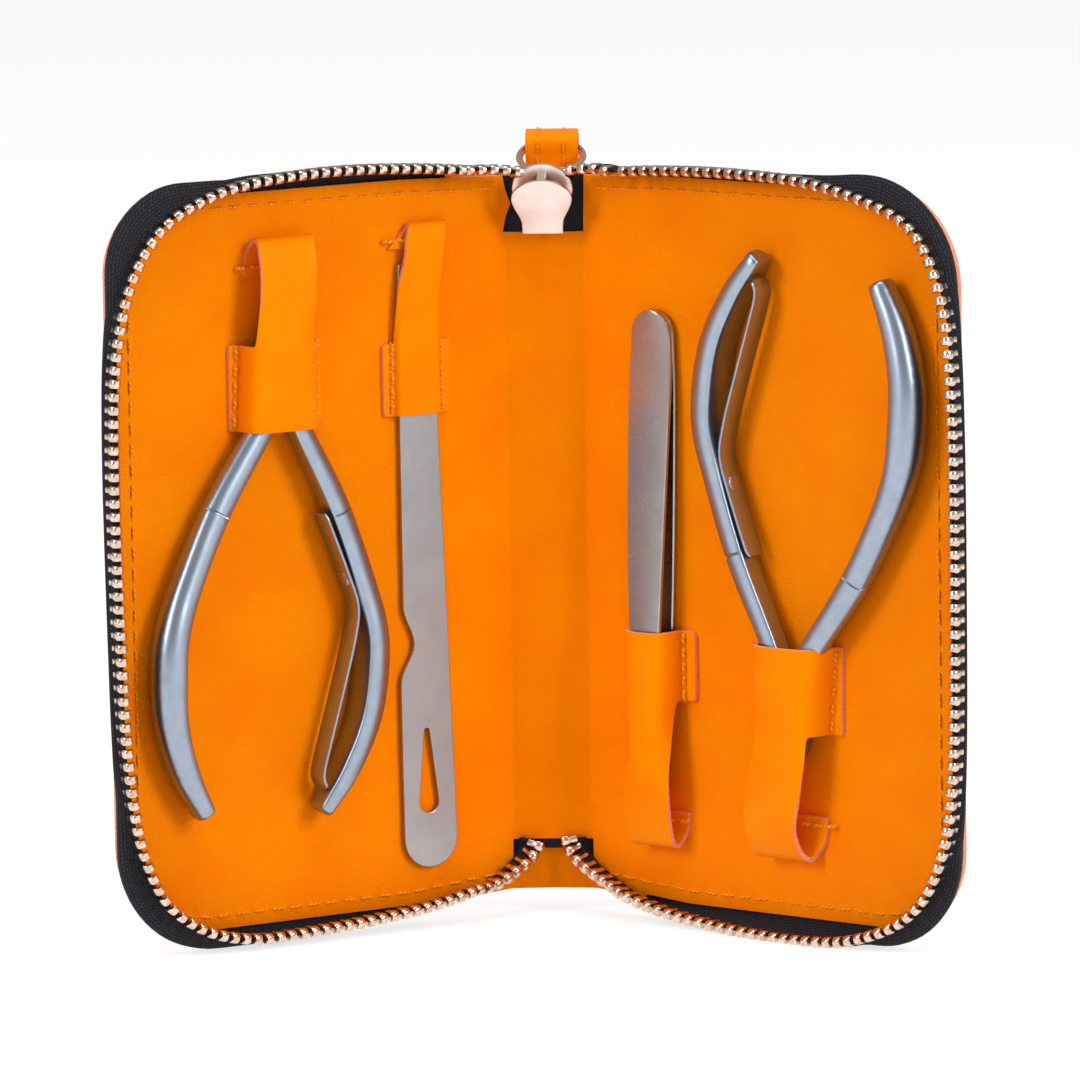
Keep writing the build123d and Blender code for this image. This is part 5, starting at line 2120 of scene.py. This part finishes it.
@dataclass
class Studio:
    """White floor, soft boxes either side and the camera."""

    floor_z: float
    floor_half: float = 8.0
    floor_glow: float = 0.72
    white: float = 1.0
    ambient: float = 0.36
    lamps: tuple[Lamp, ...] = (
        Lamp("left_soft_box", (-1.3, -1.05, 0.75), (0.5, 0.9), 13.5),
        Lamp("right_soft_box", (1.3, -1.05, 0.75), (0.5, 0.9), 15.5),
        Lamp("top_soft_box", (0.0, -0.35, 1.3), (1.0, 0.7), 6.0),
    )
    azimuth: float = 3.16
    elevation: float = 8.45
    roll: float = -0.9
    distance: float = 2.0006
    lens: float = 340.77
    shift: Flat = (-0.00826, -0.0072)
    look_at: Place = (0.0, -0.00135, 0.0)

    def build(self) -> None:
        """Set up floor, world, lamps and camera."""
        self.build_floor()
        self.build_world()
        for lamp in self.lamps:
            self.build_lamp(lamp)
        self.build_camera()
        bpy.context.scene.view_settings.view_transform = "Standard"

    def build_floor(self) -> None:
        """Plain white floor that keeps a faint shadow and shows white to camera and gloss."""
        corners = ((-1, -1), (1, -1), (1, 1), (-1, 1))
        points = [Vector((x * self.floor_half, y * self.floor_half, self.floor_z)) / MM for x, y in corners]
        floor = make_object("floor", make_mesh(points, [[0, 1, 2, 3]]))
        material, tree = new_material("white_floor")
        rays = add_node(tree, "ShaderNodeLightPath").outputs
        paper = add_node(tree, "ShaderNodeBsdfDiffuse", {"Color": (0.8, 0.8, 0.8, 1.0)})
        shown = add_node(tree, "ShaderNodeBsdfDiffuse", {"Color": (0.5, 0.5, 0.5, 1.0)})
        glow = add_node(tree, "ShaderNodeEmission", {"Color": linear("#FFFFFF"), "Strength": self.floor_glow})
        lit = add_node(tree, "ShaderNodeAddShader", {0: shown, 1: glow})
        seen = add_node(tree, "ShaderNodeMath", {0: rays["Is Camera Ray"], 1: rays["Is Glossy Ray"]},
                        operation="MAXIMUM")
        share = add_node(tree, "ShaderNodeMath", {0: seen, 1: rays["Is Transmission Ray"]},
                         operation="MAXIMUM")
        mix = add_node(tree, "ShaderNodeMixShader", {0: share, 1: paper, 2: lit})
        add_node(tree, "ShaderNodeOutputMaterial", {"Surface": mix})
        floor.data.materials.append(material)

    def build_world(self) -> None:
        """Even white surround, stronger to the camera than as a light."""
        world = bpy.data.worlds.new("surround")
        bpy.context.scene.world = world
        world.use_nodes = True
        tree = world.node_tree
        tree.nodes.clear()
        rays = add_node(tree, "ShaderNodeLightPath").outputs
        seen = add_node(tree, "ShaderNodeMath", {0: rays["Is Camera Ray"], 1: rays["Is Transmission Ray"]},
                        operation="MAXIMUM")
        strength = add_node(tree, "ShaderNodeMapRange",
                            {0: seen, 1: 0.0, 2: 1.0, 3: self.ambient, 4: self.white})
        back = add_node(tree, "ShaderNodeBackground", {"Color": (1.0, 1.0, 1.0, 1.0), "Strength": strength})
        add_node(tree, "ShaderNodeOutputWorld", {"Surface": back})

    def build_lamp(self, lamp: Lamp) -> None:
        """Add one soft box that faces the case."""
        data = bpy.data.lights.new(lamp.name, "AREA")
        data.shape, data.size, data.size_y = "RECTANGLE", *lamp.size
        data.energy, data.color = lamp.power, linear(lamp.colour)[:3]
        light = bpy.data.objects.new(lamp.name, data)
        bpy.context.scene.collection.objects.link(light)
        light.location = lamp.place
        light.rotation_euler = (-Vector(lamp.place)).to_track_quat("-Z", "Y").to_euler()

    def build_camera(self) -> None:
        """Add the camera."""
        turn, rise, roll = radians(-self.azimuth), radians(self.elevation), radians(self.roll)
        ahead = Vector((sin(turn) * cos(rise), cos(turn) * cos(rise), -sin(rise)))
        right = ahead.cross(Vector((0, 0, 1))).normalized()
        up = right.cross(ahead)
        across = right * cos(roll) + up * sin(roll)
        above = up * cos(roll) - right * sin(roll)
        data = bpy.data.cameras.new("camera")
        data.lens, data.sensor_width = self.lens, 36.0
        data.shift_x, data.shift_y = self.shift
        data.clip_end = 30.0
        camera = bpy.data.objects.new("camera", data)
        bpy.context.scene.collection.objects.link(camera)
        turned = Matrix((across, above, -ahead)).transposed().to_4x4()
        camera.matrix_world = Matrix.Translation(Vector(self.look_at) - ahead * self.distance) @ turned
        bpy.context.scene.camera = camera


# ---- assembly


def dress_solids(finishes: Finishes) -> None:
    """Give every solid that stays in view its material.

    Args:
        finishes: Materials of the set.
    """
    by_slot = {Slot.CASE: finishes.case, Slot.LINING: finishes.lining, Slot.POCKET: finishes.pocket,
               Slot.BOARD: finishes.board, Slot.TAPE: finishes.tape, Slot.TAB: finishes.pocket,
               Slot.ZIP: finishes.tooth, Slot.SLIDER: finishes.slider, Slot.STEEL: finishes.forged}
    for name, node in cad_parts.items():
        slot = next((s for s in Slot if any(s.value in m.name for m in node.data.materials if m)), Slot.CASE)
        node.data.materials.clear()
        node.data.materials.append(by_slot[slot])
        LOG.info("solid %s: %s", name, slot.value)


def main() -> None:
    """Build every sub-assembly in order."""
    logging.basicConfig(level=logging.INFO, format="%(message)s")
    finishes = Finishes()
    dress_solids(finishes)
    shape = CaseShape()
    repeater = Repeater()
    LeatherBook(shape, finishes).build()
    ZipChain(shape, finishes, repeater).build()
    stitching = Stitching(shape, finishes, repeater)
    SliderAndPull(finishes, stitching).build()
    stitching.build()
    Holders(shape, finishes, stitching).build()
    Nipper(shape, finishes, Side.LEFT, 53.2, 34.6, 4.06, -1).build()
    Nipper(shape, finishes, Side.RIGHT, 51.3, -27.0, 6.6, 1, spread=(2.2, 0.4)).build()
    NailFile(shape, finishes).build()
    Tweezers(shape, finishes).build()
    Studio(floor_z=CAD_BOX[0][2]).build()


if __name__ == "__main__":
    main()
